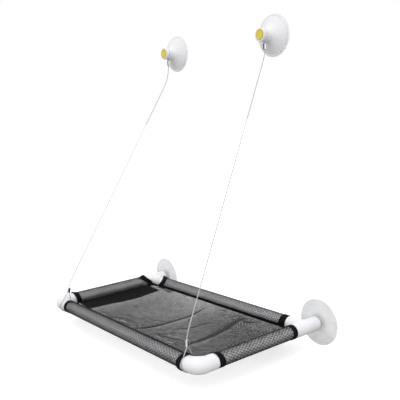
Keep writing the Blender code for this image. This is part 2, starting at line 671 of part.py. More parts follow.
def seam_tapes(material):
    """Sewn tapes that lie along the inner sides of the front and back sleeves."""
    spans = {span[0]: span for span in cloth_spans()}
    for rail, angle, inward in (("front", FRONT_TAPE_ANGLE, 1), ("back", BACK_TAPE_ANGLE, -1)):
        start = spans[rail][3] + RING_WIDTH + TAPE_END_GAP
        end = spans[rail][4] - RING_WIDTH - TAPE_END_GAP
        inner = SLEEVE_RADIUS + FIT_GAP
        outer = inner + CLOTH_THICKNESS
        half_turn = TAPE_WIDTH / inner / 2
        section = []
        for radius, first, last in ((inner, -1, 1), (outer, 1, -1)):
            for side_turn in turns_between(half_turn * first, half_turn * last, TAPE_STEPS):
                turn = angle + side_turn
                section.append((inward * radius * math.cos(turn), radius * math.sin(turn)))
        rings = [[(x, y, z) for y, z in section] for x in (start, end)]
        name = f"{rail}_seam_tape"
        place(name, finish_mesh(name, skin(rings, capped=True)), material, spans[rail][2])


def level_reach(radius):
    """How far a round of this radius about a rail's axis reaches at the height of the panel's edge."""
    return math.sqrt(radius ** 2 - PANEL_EDGE_DROP ** 2)


PANEL_SIDE_INSET = level_reach(RING_RADIUS + FIT_GAP)
PIPING_INSET = level_reach(LAPPED_RING_RADIUS + 2 * FIT_GAP + PIPING_RADIUS)
CORNER_INSET = PIPING_INSET + PIPING_RADIUS + FIT_GAP
PANEL_HALF_X = SIDE_RAIL_X - PANEL_SIDE_INSET
PANEL_FRONT = FRONT_RAIL_Y + PANEL_SIDE_INSET
PANEL_BACK = BACK_RAIL_Y - PANEL_SIDE_INSET
PANEL_LEG = ELBOW_LEG + FIT_GAP + SLEEVE_RAMP
PANEL_REAR_LEG = TEE_FRONT_LEG + FIT_GAP + SLEEVE_RAMP


def bed_height(x, y):
    """Top of the sagging bed, with its two long folds."""
    across = x / PANEL_HALF_X
    along = (2 * y - PANEL_FRONT - PANEL_BACK) / (PANEL_BACK - PANEL_FRONT)
    calm = max(0, 1 - abs(across) ** 3) * max(0, 1 - along ** 2)
    height = -PANEL_EDGE_DROP - PANEL_SAG * calm
    for middle, bow in FOLD_SHARES:
        offset = x - PANEL_HALF_X * (middle + bow * along ** 2)
        height += FOLD_HEIGHT * calm * math.exp(-(offset / FOLD_WIDTH) ** 2)
    return height


def corner_limit(x, inset, bend, leg):
    """How far from a rail's axis the panel's corner cut lies, at a distance x from the middle."""
    from_side = SIDE_RAIL_X - x
    if from_side > leg:
        return PANEL_SIDE_INSET
    if from_side >= bend:
        return inset
    if from_side >= inset:
        radius = bend - inset
        return bend - math.sqrt(max(0, radius ** 2 - (bend - from_side) ** 2))
    return leg


def panel_columns():
    """Distances from the middle at which the panel has a row of points, closer at corners and folds."""
    leg = SIDE_RAIL_X - PANEL_LEG
    columns = [leg * index / PANEL_HALF_COLUMNS for index in range(PANEL_HALF_COLUMNS + 1)]
    columns += [leg + CLOTH_THICKNESS]
    bend_width = ELBOW_BEND - CORNER_INSET
    columns += [SIDE_RAIL_X - ELBOW_BEND + bend_width * share for share in CORNER_COLUMN_SHARES]
    columns += [SIDE_RAIL_X - CORNER_INSET + CLOTH_THICKNESS, PANEL_HALF_X]
    return [-x for x in reversed(columns[1:])] + columns


def panel_mesh():
    """The bed panel as a thin solid, its corners cut out round the fittings."""
    tops = []
    bend_front = ELBOW_BEND
    bend_back = CORNER_INSET + CROTCH_RADIUS
    for x in panel_columns():
        if abs(x) > SIDE_RAIL_X - CORNER_INSET + CLOTH_THICKNESS / 2:
            front = PANEL_LEG
            back = PANEL_REAR_LEG
        else:
            front = corner_limit(abs(x), CORNER_INSET, bend_front, PANEL_LEG - FIT_GAP)
            inner_x = min(abs(x), SIDE_RAIL_X - CORNER_INSET)
            back = corner_limit(inner_x, CORNER_INSET, bend_back, PANEL_LEG - FIT_GAP)
        low = FRONT_RAIL_Y + front
        high = BACK_RAIL_Y - back
        column = []
        for row in range(PANEL_ROWS + 1):
            y = low + (high - low) * row / PANEL_ROWS
            column.append((x, y, bed_height(x, y)))
        tops.append(column)
    return thin_solid("bed_panel", tops, PANEL_THICKNESS)


def thin_solid(name, tops, thickness):
    """A closed sheet of even depth below a grid of places."""
    rings = []
    for column in tops:
        under = [(x, y, z - thickness) for x, y, z in reversed(column)]
        rings.append(list(column) + under)
    return finish_mesh(name, strip_solid(rings))


def strip_solid(rings):
    """Skin over flat rings whose two ends are closed by quads between top and underside."""
    shape = bmesh.new()
    chain = [[shape.verts.new(spot) for spot in ring] for ring in rings]
    for ring, following in zip(chain, chain[1:]):
        bridge(shape, ring, following)
    for ring in (chain[0], chain[-1]):
        count = len(ring)
        for index in range(count // 2 - 1):
            shape.faces.new((ring[index], ring[index + 1], ring[count - 2 - index], ring[count - 1 - index]))
    return shape


def side_flap(material):
    """Black flap sewn along the left side of the bed, lying on the panel."""
    middle = (PANEL_FRONT + PANEL_BACK) / 2
    half = (PANEL_BACK - PANEL_FRONT) / 2
    rows = len(FLAP_INNER_SHARES) - 1
    tops = []
    for column in range(FLAP_COLUMNS + 1):
        line = []
        for row, inner_share in enumerate(FLAP_INNER_SHARES):
            low, high = FLAP_SPAN_SHARES
            y = middle + half * (low + (high - low) * row / rows)
            outer = PANEL_HALF_X - FLAP_EDGE_GAP - (FLAP_CORNER_CUT if row == rows else 0)
            x = -outer + (outer - inner_share * PANEL_HALF_X) * column / FLAP_COLUMNS
            line.append((x, y, bed_height(x, y) + FLAP_LIFT + FLAP_THICKNESS))
        tops.append(line)
    place("left_side_flap", thin_solid("left_side_flap", tops, FLAP_THICKNESS), material)


def piping_route(sign, front):
    """Path of a corner piping: along one rail, round the inner corner and along the other."""
    bend = ELBOW_BEND if front else PIPING_INSET + CROTCH_RADIUS
    radius = bend - PIPING_INSET
    axis_y = FRONT_RAIL_Y if front else BACK_RAIL_Y
    inward = 1 if front else -1
    leg_x = PANEL_LEG - CLOTH_THICKNESS - FIT_GAP
    leg_y = ELBOW_LEG if front else PIPING_REAR_LEG
    spots = [(leg_x, PIPING_INSET)]
    for turn in turns_between(0, QUARTER_TURN, PIPING_STEPS):
        spots.append((bend - radius * math.sin(turn), bend - radius * math.cos(turn)))
    if leg_y > bend:
        spots.append((PIPING_INSET, leg_y))
    height = -PANEL_EDGE_DROP
    return [(sign * (SIDE_RAIL_X - across), axis_y + inward * along, height) for across, along in spots]


def corner_pipings(material):
    """Black cords that edge the four corner cut-outs of the bed panel."""
    for side, sign in SIDES.items():
        for end in ("front", "rear"):
            curve = bpy.data.curves.new(f"{side}_{end}_piping", "CURVE")
            curve.dimensions = "3D"
            curve.bevel_depth = PIPING_RADIUS
            curve.bevel_resolution = PIPING_ROUND_STEPS
            curve.use_fill_caps = True
            route = piping_route(sign, end == "front")
            spline = curve.splines.new("POLY")
            spline.points.add(len(route) - 1)
            for point, spot in zip(spline.points, route):
                point.co = (*spot, 1)
            place(f"{side}_{end}_piping", curve, material)


def main():
    clear_scene()
    materials = {
        "white_plastic": make_material("white_plastic", (0.87, 0.86, 0.88), 0.35),
        "clear_vinyl": make_material("clear_vinyl", (0.78, 0.80, 0.83), 0.2),
        "yellow_plastic": make_material("yellow_plastic", (0.83, 0.68, 0.03), 0.4),
        "steel": make_material("steel", (0.55, 0.55, 0.54), 0.3, 1.0),
        "brass": make_material("brass", (0.75, 0.55, 0.22), 0.35, 1.0),
        "cable_steel": make_material("cable_steel", (0.62, 0.62, 0.62), 0.35, 1.0),
        "grey_mesh_cloth": make_material("grey_mesh_cloth", (0.20, 0.20, 0.20), 0.9),
        "bed_mesh_cloth": make_material("bed_mesh_cloth", (0.13, 0.13, 0.13), 0.9),
        "black_webbing": make_material("black_webbing", (0.012, 0.012, 0.013), 0.85),
    }
    rail_tubes(materials["white_plastic"])
    corner_elbows(materials["white_plastic"])
    rear_tees(materials["white_plastic"])
    ball_plugs(materials["white_plastic"])
    lower_cups(materials["clear_vinyl"])
    upper_cups(materials)
    cables(materials["cable_steel"])
    ferrules(materials["steel"])
    sleeves_and_rings(materials["grey_mesh_cloth"], materials["black_webbing"])
    seam_tapes(materials["black_webbing"])
    place("bed_panel", panel_mesh(), materials["bed_mesh_cloth"])
    side_flap(materials["black_webbing"])
    corner_pipings(materials["black_webbing"])


main()
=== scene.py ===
import math

import bmesh
import bpy
import numpy as np
from mathutils import Matrix, Vector


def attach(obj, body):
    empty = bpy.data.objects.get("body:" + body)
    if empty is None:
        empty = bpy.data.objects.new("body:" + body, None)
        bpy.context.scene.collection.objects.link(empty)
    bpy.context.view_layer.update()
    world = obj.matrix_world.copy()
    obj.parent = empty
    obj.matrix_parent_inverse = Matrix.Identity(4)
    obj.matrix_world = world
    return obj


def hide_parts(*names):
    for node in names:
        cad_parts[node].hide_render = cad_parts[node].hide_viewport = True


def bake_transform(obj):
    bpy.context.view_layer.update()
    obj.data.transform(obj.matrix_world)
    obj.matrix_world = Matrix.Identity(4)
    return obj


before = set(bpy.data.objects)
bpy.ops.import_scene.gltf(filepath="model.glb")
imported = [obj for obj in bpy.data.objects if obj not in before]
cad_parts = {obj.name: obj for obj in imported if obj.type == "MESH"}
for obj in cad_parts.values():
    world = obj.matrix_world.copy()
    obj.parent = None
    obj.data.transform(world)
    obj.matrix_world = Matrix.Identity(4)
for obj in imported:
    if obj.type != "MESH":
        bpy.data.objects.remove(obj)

for leftover in ("Cube", "Light", "Camera"):
    if leftover in bpy.data.objects:
        bpy.data.objects.remove(bpy.data.objects[leftover])
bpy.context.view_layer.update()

# Places and sizes of the frame and the cups, in metres, as the CAD has them.
SIDE_RAIL_X = 0.260
BACK_RAIL_Y = -0.0437
FRONT_RAIL_Y = -0.3070
UPPER_CUP_X = 0.16125
UPPER_CUP_Z = 0.5646
PIVOT_DEPTH = 0.0175
SIDES = {"left": -1, "right": 1}
FIT_GAP = 0.0003

PIPE_RADIUS = 0.0118
PIPE_WALL = 0.0018
FITTING_RADIUS = 0.0140
SOCKET_RADIUS = 0.0121
FITTING_BORE = 0.0094
ELBOW_BEND = 0.021
ELBOW_SWELL = 0.0012
ELBOW_LEG = 0.0385
ELBOW_STOP = 0.0226
TEE_FRONT_LEG = 0.0310
TEE_REAR_LEG = 0.0332
TEE_BRANCH_LEG = 0.0385
BALL_RADIUS = 0.0078
PLUG_WALL = 0.0026

SLEEVE_OUTER = 0.0133
SLEEVE_THICKNESS = 0.00055
SLEEVE_RAMP = 0.0030
SLEEVE_PITCH = 0.0022
NET_ROUNDS = 22
NET_LENGTH_ROUND = NET_ROUNDS * SLEEVE_PITCH * math.sqrt(3)
SLEEVE_HOLE = 0.465
BED_PITCH = 0.0018
BED_HOLE = 0.355
# The two sizes of the diamonds in which the net is tight and open.
SLEEVE_KNIT = (0.0090, NET_LENGTH_ROUND / 14)
BED_KNIT = (0.0060, 0.0052)
PANEL_DROP = 0.0088
PANEL_SAG = 0.0205

HAMMOCK = "hammock_frame"
WINDOW = "window_hardware"
FULL_TURN = 2 * math.pi


def placed(name, data):
    """A new object in the scene that shows some data."""
    item = bpy.data.objects.new(name, data)
    bpy.context.scene.collection.objects.link(item)
    return item


# camera

# How far the camera is turned round, pitched and rolled, in degrees, and its place and lens.
CAMERA_TURNS = (51.8222, 7.8378, -2.7935)
CAMERA_PLACE = (1.01, -0.8737, 0.4101)
LENS_LENGTH = 53.45
SENSOR_WIDTH = 36
NEAREST_SEEN = 0.01


def set_camera():
    """The view of the photo."""
    azimuth, pitch, roll = (math.radians(turn) for turn in CAMERA_TURNS)
    right = Vector((math.cos(azimuth), math.sin(azimuth), 0))
    level_back = Vector((math.sin(azimuth), -math.cos(azimuth), 0))
    back = level_back * math.cos(pitch) + Vector((0, 0, math.sin(pitch)))
    up = back.cross(right)
    rolled_right = right * math.cos(roll) + up * math.sin(roll)
    rolled_up = up * math.cos(roll) - right * math.sin(roll)
    place = Matrix((rolled_right, rolled_up, back)).transposed().to_4x4()
    place.translation = CAMERA_PLACE
    lens = bpy.data.cameras.new("room_camera")
    lens.sensor_width = SENSOR_WIDTH
    lens.lens = LENS_LENGTH
    lens.clip_start = NEAREST_SEEN
    camera = placed("room_camera", lens)
    camera.matrix_world = place
    bpy.context.scene.camera = camera


set_camera()


# finishes

# The depths of fine and coarse relief, in metres.
FINE_BUMP = 0.0001
COARSE_BUMP = 0.0002


def set_or_join(tree, socket, value):
    if isinstance(value, bpy.types.NodeSocket):
        tree.links.new(value, socket)
    else:
        socket.default_value = value


def put(tree, kind, settings=None, **inputs):
    """A node with its sockets, by name or number, set to values or joined to other nodes' outputs."""
    item = tree.nodes.new(kind)
    for name, value in (settings or {}).items():
        setattr(item, name, value)
    for name, value in inputs.items():
        socket = item.inputs[int(name[1:])] if name[1:].isdigit() else item.inputs[name.replace("_", " ")]
        set_or_join(tree, socket, value)
    return item


def calc(tree, operation, first, second=None):
    """The result of one sum on numbers or outputs."""
    inputs = {"s0": first} if second is None else {"s0": first, "s1": second}
    return put(tree, "ShaderNodeMath", {"operation": operation}, **inputs).outputs[0]


def vector_calc(tree, operation, first, second=None):
    inputs = {"s0": first} if second is None else {"s0": first, "s1": second}
    item = put(tree, "ShaderNodeVectorMath", {"operation": operation}, **inputs)
    return item.outputs["Value" if operation == "LENGTH" else "Vector"]


def blend_colour(tree, share, dark, light):
    item = put(tree, "ShaderNodeMix", {"data_type": "RGBA"}, s0=share)
    for socket, value in ((item.inputs[6], dark), (item.inputs[7], light)):
        set_or_join(tree, socket, (*value, 1) if isinstance(value, tuple) else value)
    return item.outputs[2]


def spread(tree, value, low, high, to_low, to_high, smooth=False):
    """A value carried from one span to another, and held at its ends."""
    item = put(tree, "ShaderNodeMapRange", {"interpolation_type": "SMOOTHSTEP" if smooth else "LINEAR"},
               s0=value, s1=low, s2=high, s3=to_low, s4=to_high)
    return item.outputs[0]


def over_noise(tree, value, to_low, to_high):
    """A noise carried to another span. Most of its values lie between 0.3 and 0.7."""
    return spread(tree, value, 0.3, 0.7, to_low, to_high)


def mottled(tree, value, dark, light, low=0.35, high=0.65):
    """Two colours mixed by a noise."""
    return blend_colour(tree, spread(tree, value, low, high, 0.0, 1.0), dark, light)


def noise(tree, where, scale, detail=2.0):
    return put(tree, "ShaderNodeTexNoise", Vector=where, Scale=scale, Detail=detail).outputs["Fac"]


def bump(tree, height, strength, distance):
    return put(tree, "ShaderNodeBump", Strength=strength, Distance=distance, Height=height).outputs[0]


def solid_place(tree):
    return put(tree, "ShaderNodeTexCoord").outputs["Object"]


def flat_place(tree):
    return put(tree, "ShaderNodeUVMap").outputs[0]


def parts_of(tree, vector):
    return put(tree, "ShaderNodeSeparateXYZ", Vector=vector).outputs


def wave(tree, operation, value, length):
    """A sine or cosine that repeats after a length."""
    return calc(tree, operation, calc(tree, "MULTIPLY", value, FULL_TURN / length))


def new_finish(name, roughness=0.4, metallic=0.0, specular=0.5):
    material = bpy.data.materials.new(name)
    material.use_nodes = True
    shader = material.node_tree.nodes["Principled BSDF"]
    shader.inputs["Roughness"].default_value = roughness
    shader.inputs["Metallic"].default_value = metallic
    shader.inputs["Specular IOR Level"].default_value = specular
    return material, material.node_tree, shader


def feed(tree, shader, **results):
    """Join results to the shader's sockets of the same names."""
    for name, result in results.items():
        tree.links.new(result, shader.inputs[name.replace("_", " ")])


def plastic(name, dark, light, rough, peel_depth=0.12):
    """Injected plastic: faint flow shades, uneven gloss and a fine orange peel."""
    flow_scale, gloss_scale, peel_scale = 34.0, 120.0, 1400.0
    material, tree, shader = new_finish(name)
    spot = solid_place(tree)
    feed(tree, shader, Base_Color=mottled(tree, noise(tree, spot, flow_scale, 3.0), dark, light),
         Roughness=over_noise(tree, noise(tree, spot, gloss_scale), *rough),
         Normal=bump(tree, noise(tree, spot, peel_scale, 1.0), peel_depth, FINE_BUMP))
    return material


def extruded_plastic(name, dark, light):
    """Pipe: the same plastic with faint draw lines along its length."""
    draw_lines = (6.0, 1500.0, 1.0)
    material, tree, shader = new_finish(name, 0.34)
    place = put(tree, "ShaderNodeMapping", Vector=flat_place(tree), Scale=draw_lines).outputs[0]
    lines = noise(tree, place, 1.0)
    feed(tree, shader, Base_Color=mottled(tree, lines, dark, light),
         Normal=bump(tree, lines, 0.15, FINE_BUMP))
    return material


def vinyl(name, dark, light, cover, roughness):
    """Soft clear vinyl, clouded in the mass and thicker in its middle, with faint turning marks."""
    mark_pitch = 0.0062
    cloud_scale = 55.0
    thick_to, thin_from = 0.010, 0.022
    thick_cover = 0.25
    uneven_cover = 0.05
    material, tree, shader = new_finish(name, roughness)
    radius = parts_of(tree, flat_place(tree))["Y"]
    rings = wave(tree, "SINE", radius, mark_pitch)
    cloud = noise(tree, solid_place(tree), cloud_scale, 3.0)
    share = calc(tree, "ADD", spread(tree, rings, -1, 1, 0.0, 0.45), over_noise(tree, cloud, 0.0, 0.55))
    thickness = spread(tree, radius, thick_to, thin_from, 1.0, 0.0, True)
    alpha = calc(tree, "ADD", spread(tree, share, 0.0, 1.0, cover + uneven_cover, cover - uneven_cover),
                 calc(tree, "MULTIPLY", thickness, thick_cover))
    feed(tree, shader, Base_Color=blend_colour(tree, share, dark, light), Alpha=alpha,
         Normal=bump(tree, rings, 0.10, COARSE_BUMP))
    return material


def metal(name, dark, light, roughness, scuff_scale=220.0, painted_highlight=None):
    """Scuffed metal, and where it is a pressed sleeve, a painted highlight on its two round sides."""
    less_rough, more_rough = 0.08, 0.1
    highlight_from, highlight_to = 0.42, 0.60
    material, tree, shader = new_finish(name, roughness, 1.0)
    scuffs = noise(tree, solid_place(tree), scuff_scale, 4.0)
    colour = mottled(tree, scuffs, dark, light, 0.3, 0.7)
    # A pressed sleeve's two round sides are made pale as a painted highlight.
    if painted_highlight:
        turn = parts_of(tree, flat_place(tree))["X"]
        round_side = calc(tree, "ABSOLUTE", calc(tree, "COSINE", turn))
        share = spread(tree, round_side, highlight_from, highlight_to, 0.0, 1.0, True)
        colour = blend_colour(tree, share, colour, painted_highlight)
    feed(tree, shader, Base_Color=colour, Normal=bump(tree, scuffs, 0.2, FINE_BUMP / 2),
         Roughness=over_noise(tree, scuffs, roughness - less_rough, roughness + more_rough))
    return material


def hole_distance(tree, place, pitch):
    """How far a place is from the nearest hole of a staggered net, in pitches."""
    wide = math.sqrt(3)
    # A whole number of pitches that keeps every place above zero, where a fraction runs upward.
    past_zero = 64
    scaled = vector_calc(tree, "MULTIPLY", place, (1 / pitch, 1 / pitch / wide, 0))
    nearest = []
    for shift in (past_zero, past_zero + 0.5):
        part = vector_calc(tree, "FRACTION", vector_calc(tree, "ADD", scaled, (shift, shift, 0)))
        centred = vector_calc(tree, "SUBTRACT", part, (0.5, 0.5, 0))
        nearest.append(vector_calc(tree, "LENGTH", vector_calc(tree, "MULTIPLY", centred, (1, wide, 0))))
    return calc(tree, "MINIMUM", *nearest)


def net_cloth(name, pitch, hole, dark, light, knit_pitch, knit_depth, unevenness):
    """Knitted net: staggered round holes, tight and open in diamonds, closed near a sleeve's ends, and on
    the bed closed as painted shade and opened as painted highlight.
    """
    soft_edge = 0.03
    thread_round = 0.16
    wide_drift, wide_drift_scale = 0.025, 60.0
    near_drift_scale, fibre_scale = 230.0, 2600.0
    material, tree, shader = new_finish(name, 0.8, 0.0, 0.15)
    place = flat_place(tree)
    wide = over_noise(tree, noise(tree, place, wide_drift_scale), -wide_drift, wide_drift)
    near = over_noise(tree, noise(tree, place, near_drift_scale), -unevenness, unevenness)
    drift = calc(tree, "ADD", wide, near)
    parts = parts_of(tree, place)
    waves = [wave(tree, "COSINE", parts[axis], length) for axis, length in zip("XY", knit_pitch)]
    knit = calc(tree, "MULTIPLY", calc(tree, "MULTIPLY", *waves), knit_depth)
    edge = calc(tree, "ADD", calc(tree, "ADD", drift, hole), knit)
    # A mesh attribute closes the net near a sleeve's ends, and on the bed paints shade and highlight along
    # the folds.
    crease = put(tree, "ShaderNodeAttribute", {"attribute_name": "crease"}).outputs["Fac"]
    edge = calc(tree, "MULTIPLY", edge, calc(tree, "SUBTRACT", 1.0, crease))
    past = calc(tree, "SUBTRACT", hole_distance(tree, place, pitch), edge)
    thread = spread(tree, past, 0.0, thread_round, 0.0, 1.0, True)
    fibre = noise(tree, place, fibre_scale)
    share = calc(tree, "MULTIPLY", thread, over_noise(tree, fibre, 0.4, 1.0))
    feed(tree, shader, Alpha=spread(tree, past, -soft_edge, soft_edge, 0.0, 1.0, True),
         Base_Color=blend_colour(tree, share, dark, light),
         Normal=bump(tree, calc(tree, "ADD", thread, fibre), 0.5, COARSE_BUMP))
    return material


def woven_black(name, dark, light, pitch):
    """Tight black weave: over and under ribs both ways, with lint-pale fibres here and there."""
    fibre_scale = 1900.0
    material, tree, shader = new_finish(name, 0.85, 0.0, 0.12)
    place = flat_place(tree)
    parts = parts_of(tree, place)
    ribs = (wave(tree, "SINE", parts["X"], pitch), wave(tree, "COSINE", parts["Y"], pitch))
    weave = calc(tree, "MULTIPLY", *ribs)
    fibre = noise(tree, place, fibre_scale, 3.0)
    share = calc(tree, "MULTIPLY", spread(tree, weave, -1, 1, 0.2, 1.0),
                 spread(tree, fibre, 0.35, 0.75, 0.2, 1.0))
    feed(tree, shader, Base_Color=blend_colour(tree, share, dark, light),
         Normal=bump(tree, calc(tree, "ADD", weave, fibre), 0.45, COARSE_BUMP))
    return material


def spun_yarn(name, dark, light):
    """Spun thread: fine fibres in two tones."""
    fibre_scale = 3200.0
    material, tree, shader = new_finish(name, 0.85, 0.0, 0.12)
    fibre = noise(tree, solid_place(tree), fibre_scale, 3.0)
    feed(tree, shader, Base_Color=mottled(tree, fibre, dark, light, 0.35, 0.70),
         Normal=bump(tree, fibre, 0.5, FINE_BUMP))
    return material


def disc_paint(name, dark, light, rim_colour):
    """Painted disc, deeper in colour at its rim."""
    rim_start, rim_full = 0.0074, 0.0092
    cloud_scale = 300.0
    material, tree, shader = new_finish(name)
    radius = parts_of(tree, flat_place(tree))["Y"]
    cloud = noise(tree, solid_place(tree), cloud_scale)
    rim = spread(tree, radius, rim_start, rim_full, 0.0, 1.0, True)
    feed(tree, shader, Base_Color=blend_colour(tree, rim, mottled(tree, cloud, dark, light), rim_colour),
         Roughness=over_noise(tree, cloud, 0.3, 0.42))
    return material


def grey(tone):
    return (tone, tone, tone)


FINISHES = {
    "white_fitting": plastic("moulded_white", (0.84, 0.83, 0.865), (0.88, 0.875, 0.905), (0.26, 0.38)),
    "cover_plastic": plastic("cover_white", (0.85, 0.85, 0.865), (0.88, 0.88, 0.895), (0.34, 0.44), 0.03),
    "knob_plastic": plastic("knob_white", (0.84, 0.84, 0.86), (0.88, 0.88, 0.90), (0.30, 0.42), 0.05),
    "white_pipe": extruded_plastic("pipe_white", (0.83, 0.825, 0.85), (0.87, 0.865, 0.89)),
    "lower_cup_vinyl": vinyl("cup_vinyl", (0.56, 0.565, 0.58), (0.70, 0.705, 0.72), 0.45, 0.35),
    "upper_pad_vinyl": vinyl("pad_vinyl", (0.86, 0.865, 0.88), (0.90, 0.905, 0.92), 0.42, 0.40),
    "disc_yellow": disc_paint("disc_yellow_paint", (0.80, 0.64, 0.015), (0.84, 0.72, 0.03),
                              (0.62, 0.36, 0.01)),
    "nut_brass": metal("turned_brass", (0.62, 0.42, 0.15), (0.80, 0.60, 0.26), 0.35),
    "hardware_steel": metal("plated_steel", (0.45, 0.45, 0.46), grey(0.66), 0.3),
    "cable_steel": metal("wire_steel", grey(0.56), grey(0.72), 0.50, 500.0),
    # Pressed sleeves: dark metal with a painted highlight on their two round sides.
    "ferrule_metal": metal("pressed_metal", grey(0.045), grey(0.12), 0.34, 700.0, (0.90, 0.90, 0.89)),
    "black_binding": woven_black("binding_weave", (0.003, 0.003, 0.0035), (0.009, 0.009, 0.010), 0.0011),
    "black_cloth": woven_black("flap_weave", (0.003, 0.003, 0.0035), (0.010, 0.010, 0.011), 0.0008),
    "sleeve_mesh": net_cloth("sleeve_net", SLEEVE_PITCH, SLEEVE_HOLE, grey(0.034), (0.110, 0.110, 0.112),
                             SLEEVE_KNIT, 0.16, 0.06),
    "bed_mesh": net_cloth("bed_net", BED_PITCH, BED_HOLE, grey(0.018), grey(0.050), BED_KNIT, 0.012, 0.010),
}
# The back sleeve's net: the same cloth as the other sleeves, with paler threads as painted light.
PAINTED_LIGHT_BACK_NET = net_cloth("back_sleeve_net", SLEEVE_PITCH, SLEEVE_HOLE, (0.11, 0.11, 0.112), (0.30, 0.30, 0.31),
                     SLEEVE_KNIT, 0.18, 0.06)
THREAD = spun_yarn("stitch_thread", (0.008, 0.008, 0.009), (0.034, 0.034, 0.036))
YARN = spun_yarn("net_yarn", (0.022, 0.022, 0.023), (0.070, 0.070, 0.072))


# making meshes

def keep_piece(mesh, finish, body, *stands_for):
    """Show a finished mesh under its own name, on its body, and hide the CAD nodes that it stands for."""
    piece = placed(mesh.name, mesh)
    mesh.materials.clear()
    mesh.materials.append(FINISHES[finish] if isinstance(finish, str) else finish)
    if body:
        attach(piece, body)
    if stands_for:
        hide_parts(*stands_for)
    return piece


def tidy_mesh(mesh, sharp=40.0, merge=0.0):
    """Turn faces outward, after joining places that are closer than a distance, and shade them smooth."""
    work = bmesh.new()
    work.from_mesh(mesh)
    if merge:
        bmesh.ops.remove_doubles(work, verts=work.verts, dist=merge)
    bmesh.ops.recalc_face_normals(work, faces=work.faces)
    work.to_mesh(mesh)
    work.free()
    mesh.shade_smooth()
    mesh.set_sharp_from_angle(angle=math.radians(sharp))
    return mesh


def mesh_of(name, spots, faces, uv=None, sharp=40.0):
    """A mesh from places and faces, outward facing, with one UV for each face corner."""
    mesh = bpy.data.meshes.new(name)
    mesh.from_pydata([tuple(spot) for spot in spots], [], [tuple(face) for face in faces])
    if uv is not None:
        layer = mesh.uv_layers.new(name="cloth")
        layer.data.foreach_set("uv", np.asarray(uv, dtype=np.float32).reshape(-1))
    return tidy_mesh(mesh, sharp)


def baked(work, name):
    """The mesh that an object's modifier makes. The object and its modifier are removed."""
    made = bpy.data.meshes.new_from_object(work.evaluated_get(bpy.context.evaluated_depsgraph_get()))
    bpy.data.objects.remove(work)
    made.name = name
    return made


def curved_run(start, corner, end, count):
    """Places on a curve that leaves its start towards the corner and comes to its end from it."""
    return [start * (1 - share) ** 2 + corner * 2 * share * (1 - share) + end * share ** 2
            for share in (step / count for step in range(count + 1))]


def softened(profile, radius, closed):
    """A profile whose corners are turned into short curves of about this radius."""
    # A curve stops short of the middle of its side, and one shorter than the least isn't made.
    most_of_side = 0.48
    least = 1e-6
    count = len(profile)
    curve = []
    for at, corner in enumerate(profile):
        reach = corner[2] if len(corner) > 2 else radius
        here = Vector(corner[:2])
        before = Vector(profile[at - 1][:2]) - here
        after = Vector(profile[(at + 1) % count][:2]) - here
        steps = [min(reach, way.length * most_of_side) for way in (before, after)]
        if not closed and at in (0, count - 1) or min(steps) < least:
            curve.append(here)
            continue
        start, end = (here + way.normalized() * step for way, step in zip((before, after), steps))
        curve += curved_run(start, here, end, 4)
    return curve


def turned(name, profile, sides, radius=0.0004, sharp=40.0):
    """Turn a profile of (radius, height) about Z, with softened corners; UV runs round and outward."""
    on_axis = 1e-7
    closed = profile[0][0] != 0
    curve = softened(profile, radius, closed)
    spots, rings = [], []
    for distance, height in curve:
        start = len(spots)
        if distance < on_axis:
            spots.append((0, 0, height))
            rings.append([start] * sides)
            continue
        for side in range(sides):
            turn = FULL_TURN * side / sides
            spots.append((distance * math.cos(turn), distance * math.sin(turn), height))
        rings.append(list(range(start, start + sides)))
    faces, uv = [], []
    pairs = list(zip(range(len(rings) - 1), range(1, len(rings))))
    if closed:
        pairs.append((len(rings) - 1, 0))
    for low, high in pairs:
        for side in range(sides):
            after = (side + 1) % sides
            corners = {}
            for ring, where, at in ((low, side, side), (high, side, side), (high, after, side + 1),
                                    (low, after, side + 1)):
                flat = (FULL_TURN * SLEEVE_OUTER * at / sides, curve[ring][0])
                corners.setdefault(rings[ring][where], flat)
            if len(corners) > 2:
                faces.append(list(corners))
                uv += corners.values()
    return mesh_of(name, spots, faces, uv, sharp)


def facing_room(mesh, x, z):
    """Move a turned mesh so that its height points from the glass into the room."""
    mesh.transform(Matrix.Translation((x, 0, z)) @ Matrix.Rotation(math.pi / 2, 4, "X"))
    return mesh


def tube_faces(rings, sides, closed=False):
    """Faces between rings of places: a loop of rings, or a tube with a cap at both ends."""
    faces = []
    for ring in range(rings if closed else rings - 1):
        next_ring = (ring + 1) % rings
        for side in range(sides):
            after = (side + 1) % sides
            faces.append((ring * sides + side, ring * sides + after,
                          next_ring * sides + after, next_ring * sides + side))
    if not closed:
        faces += [tuple(range(ring * sides, (ring + 1) * sides)) for ring in (0, rings - 1)]
    return faces


def headings(path):
    """The direction of a path at each of its places."""
    ways = np.gradient(path, axis=0)
    return ways / np.linalg.norm(ways, axis=1)[:, None]


def shell(name, top, under, place, wrap, sharp=60.0, marks=None):
    """A thin closed sheet between two grids of places, with the cloth's flat place as its UV."""
    rows, columns = top.shape[:2]
    spots = np.concatenate([top.reshape(-1, 3), under.reshape(-1, 3)])
    steps = columns if wrap else columns - 1
    faces, uv = [], []

    def quad(cells, flip):
        order = cells[::-1] if flip else cells
        faces.append([(half * rows + row) * columns + column % columns for half, row, column in order])
        uv.extend(place[row, column] for half, row, column in order)

    for row in range(rows - 1):
        for column in range(steps):
            cells = [(row, column), (row + 1, column), (row + 1, column + 1), (row, column + 1)]
            quad([(0, *cell) for cell in cells], False)
            quad([(1, *cell) for cell in cells], True)
    for row in (0, rows - 1):
        for column in range(steps):
            quad([(0, row, column), (1, row, column), (1, row, column + 1), (0, row, column + 1)], row == 0)
    for column in () if wrap else (0, columns - 1):
        for row in range(rows - 1):
            quad([(0, row, column), (0, row + 1, column), (1, row + 1, column), (1, row, column)],
                 column == 0)
    mesh = mesh_of(name, spots, faces, uv, sharp)
    if marks is not None:
        layer = mesh.attributes.new("crease", "FLOAT", "POINT")
        layer.data.foreach_set("value", np.concatenate([marks.ravel()] * 2).astype(np.float32))
    return mesh


# cables

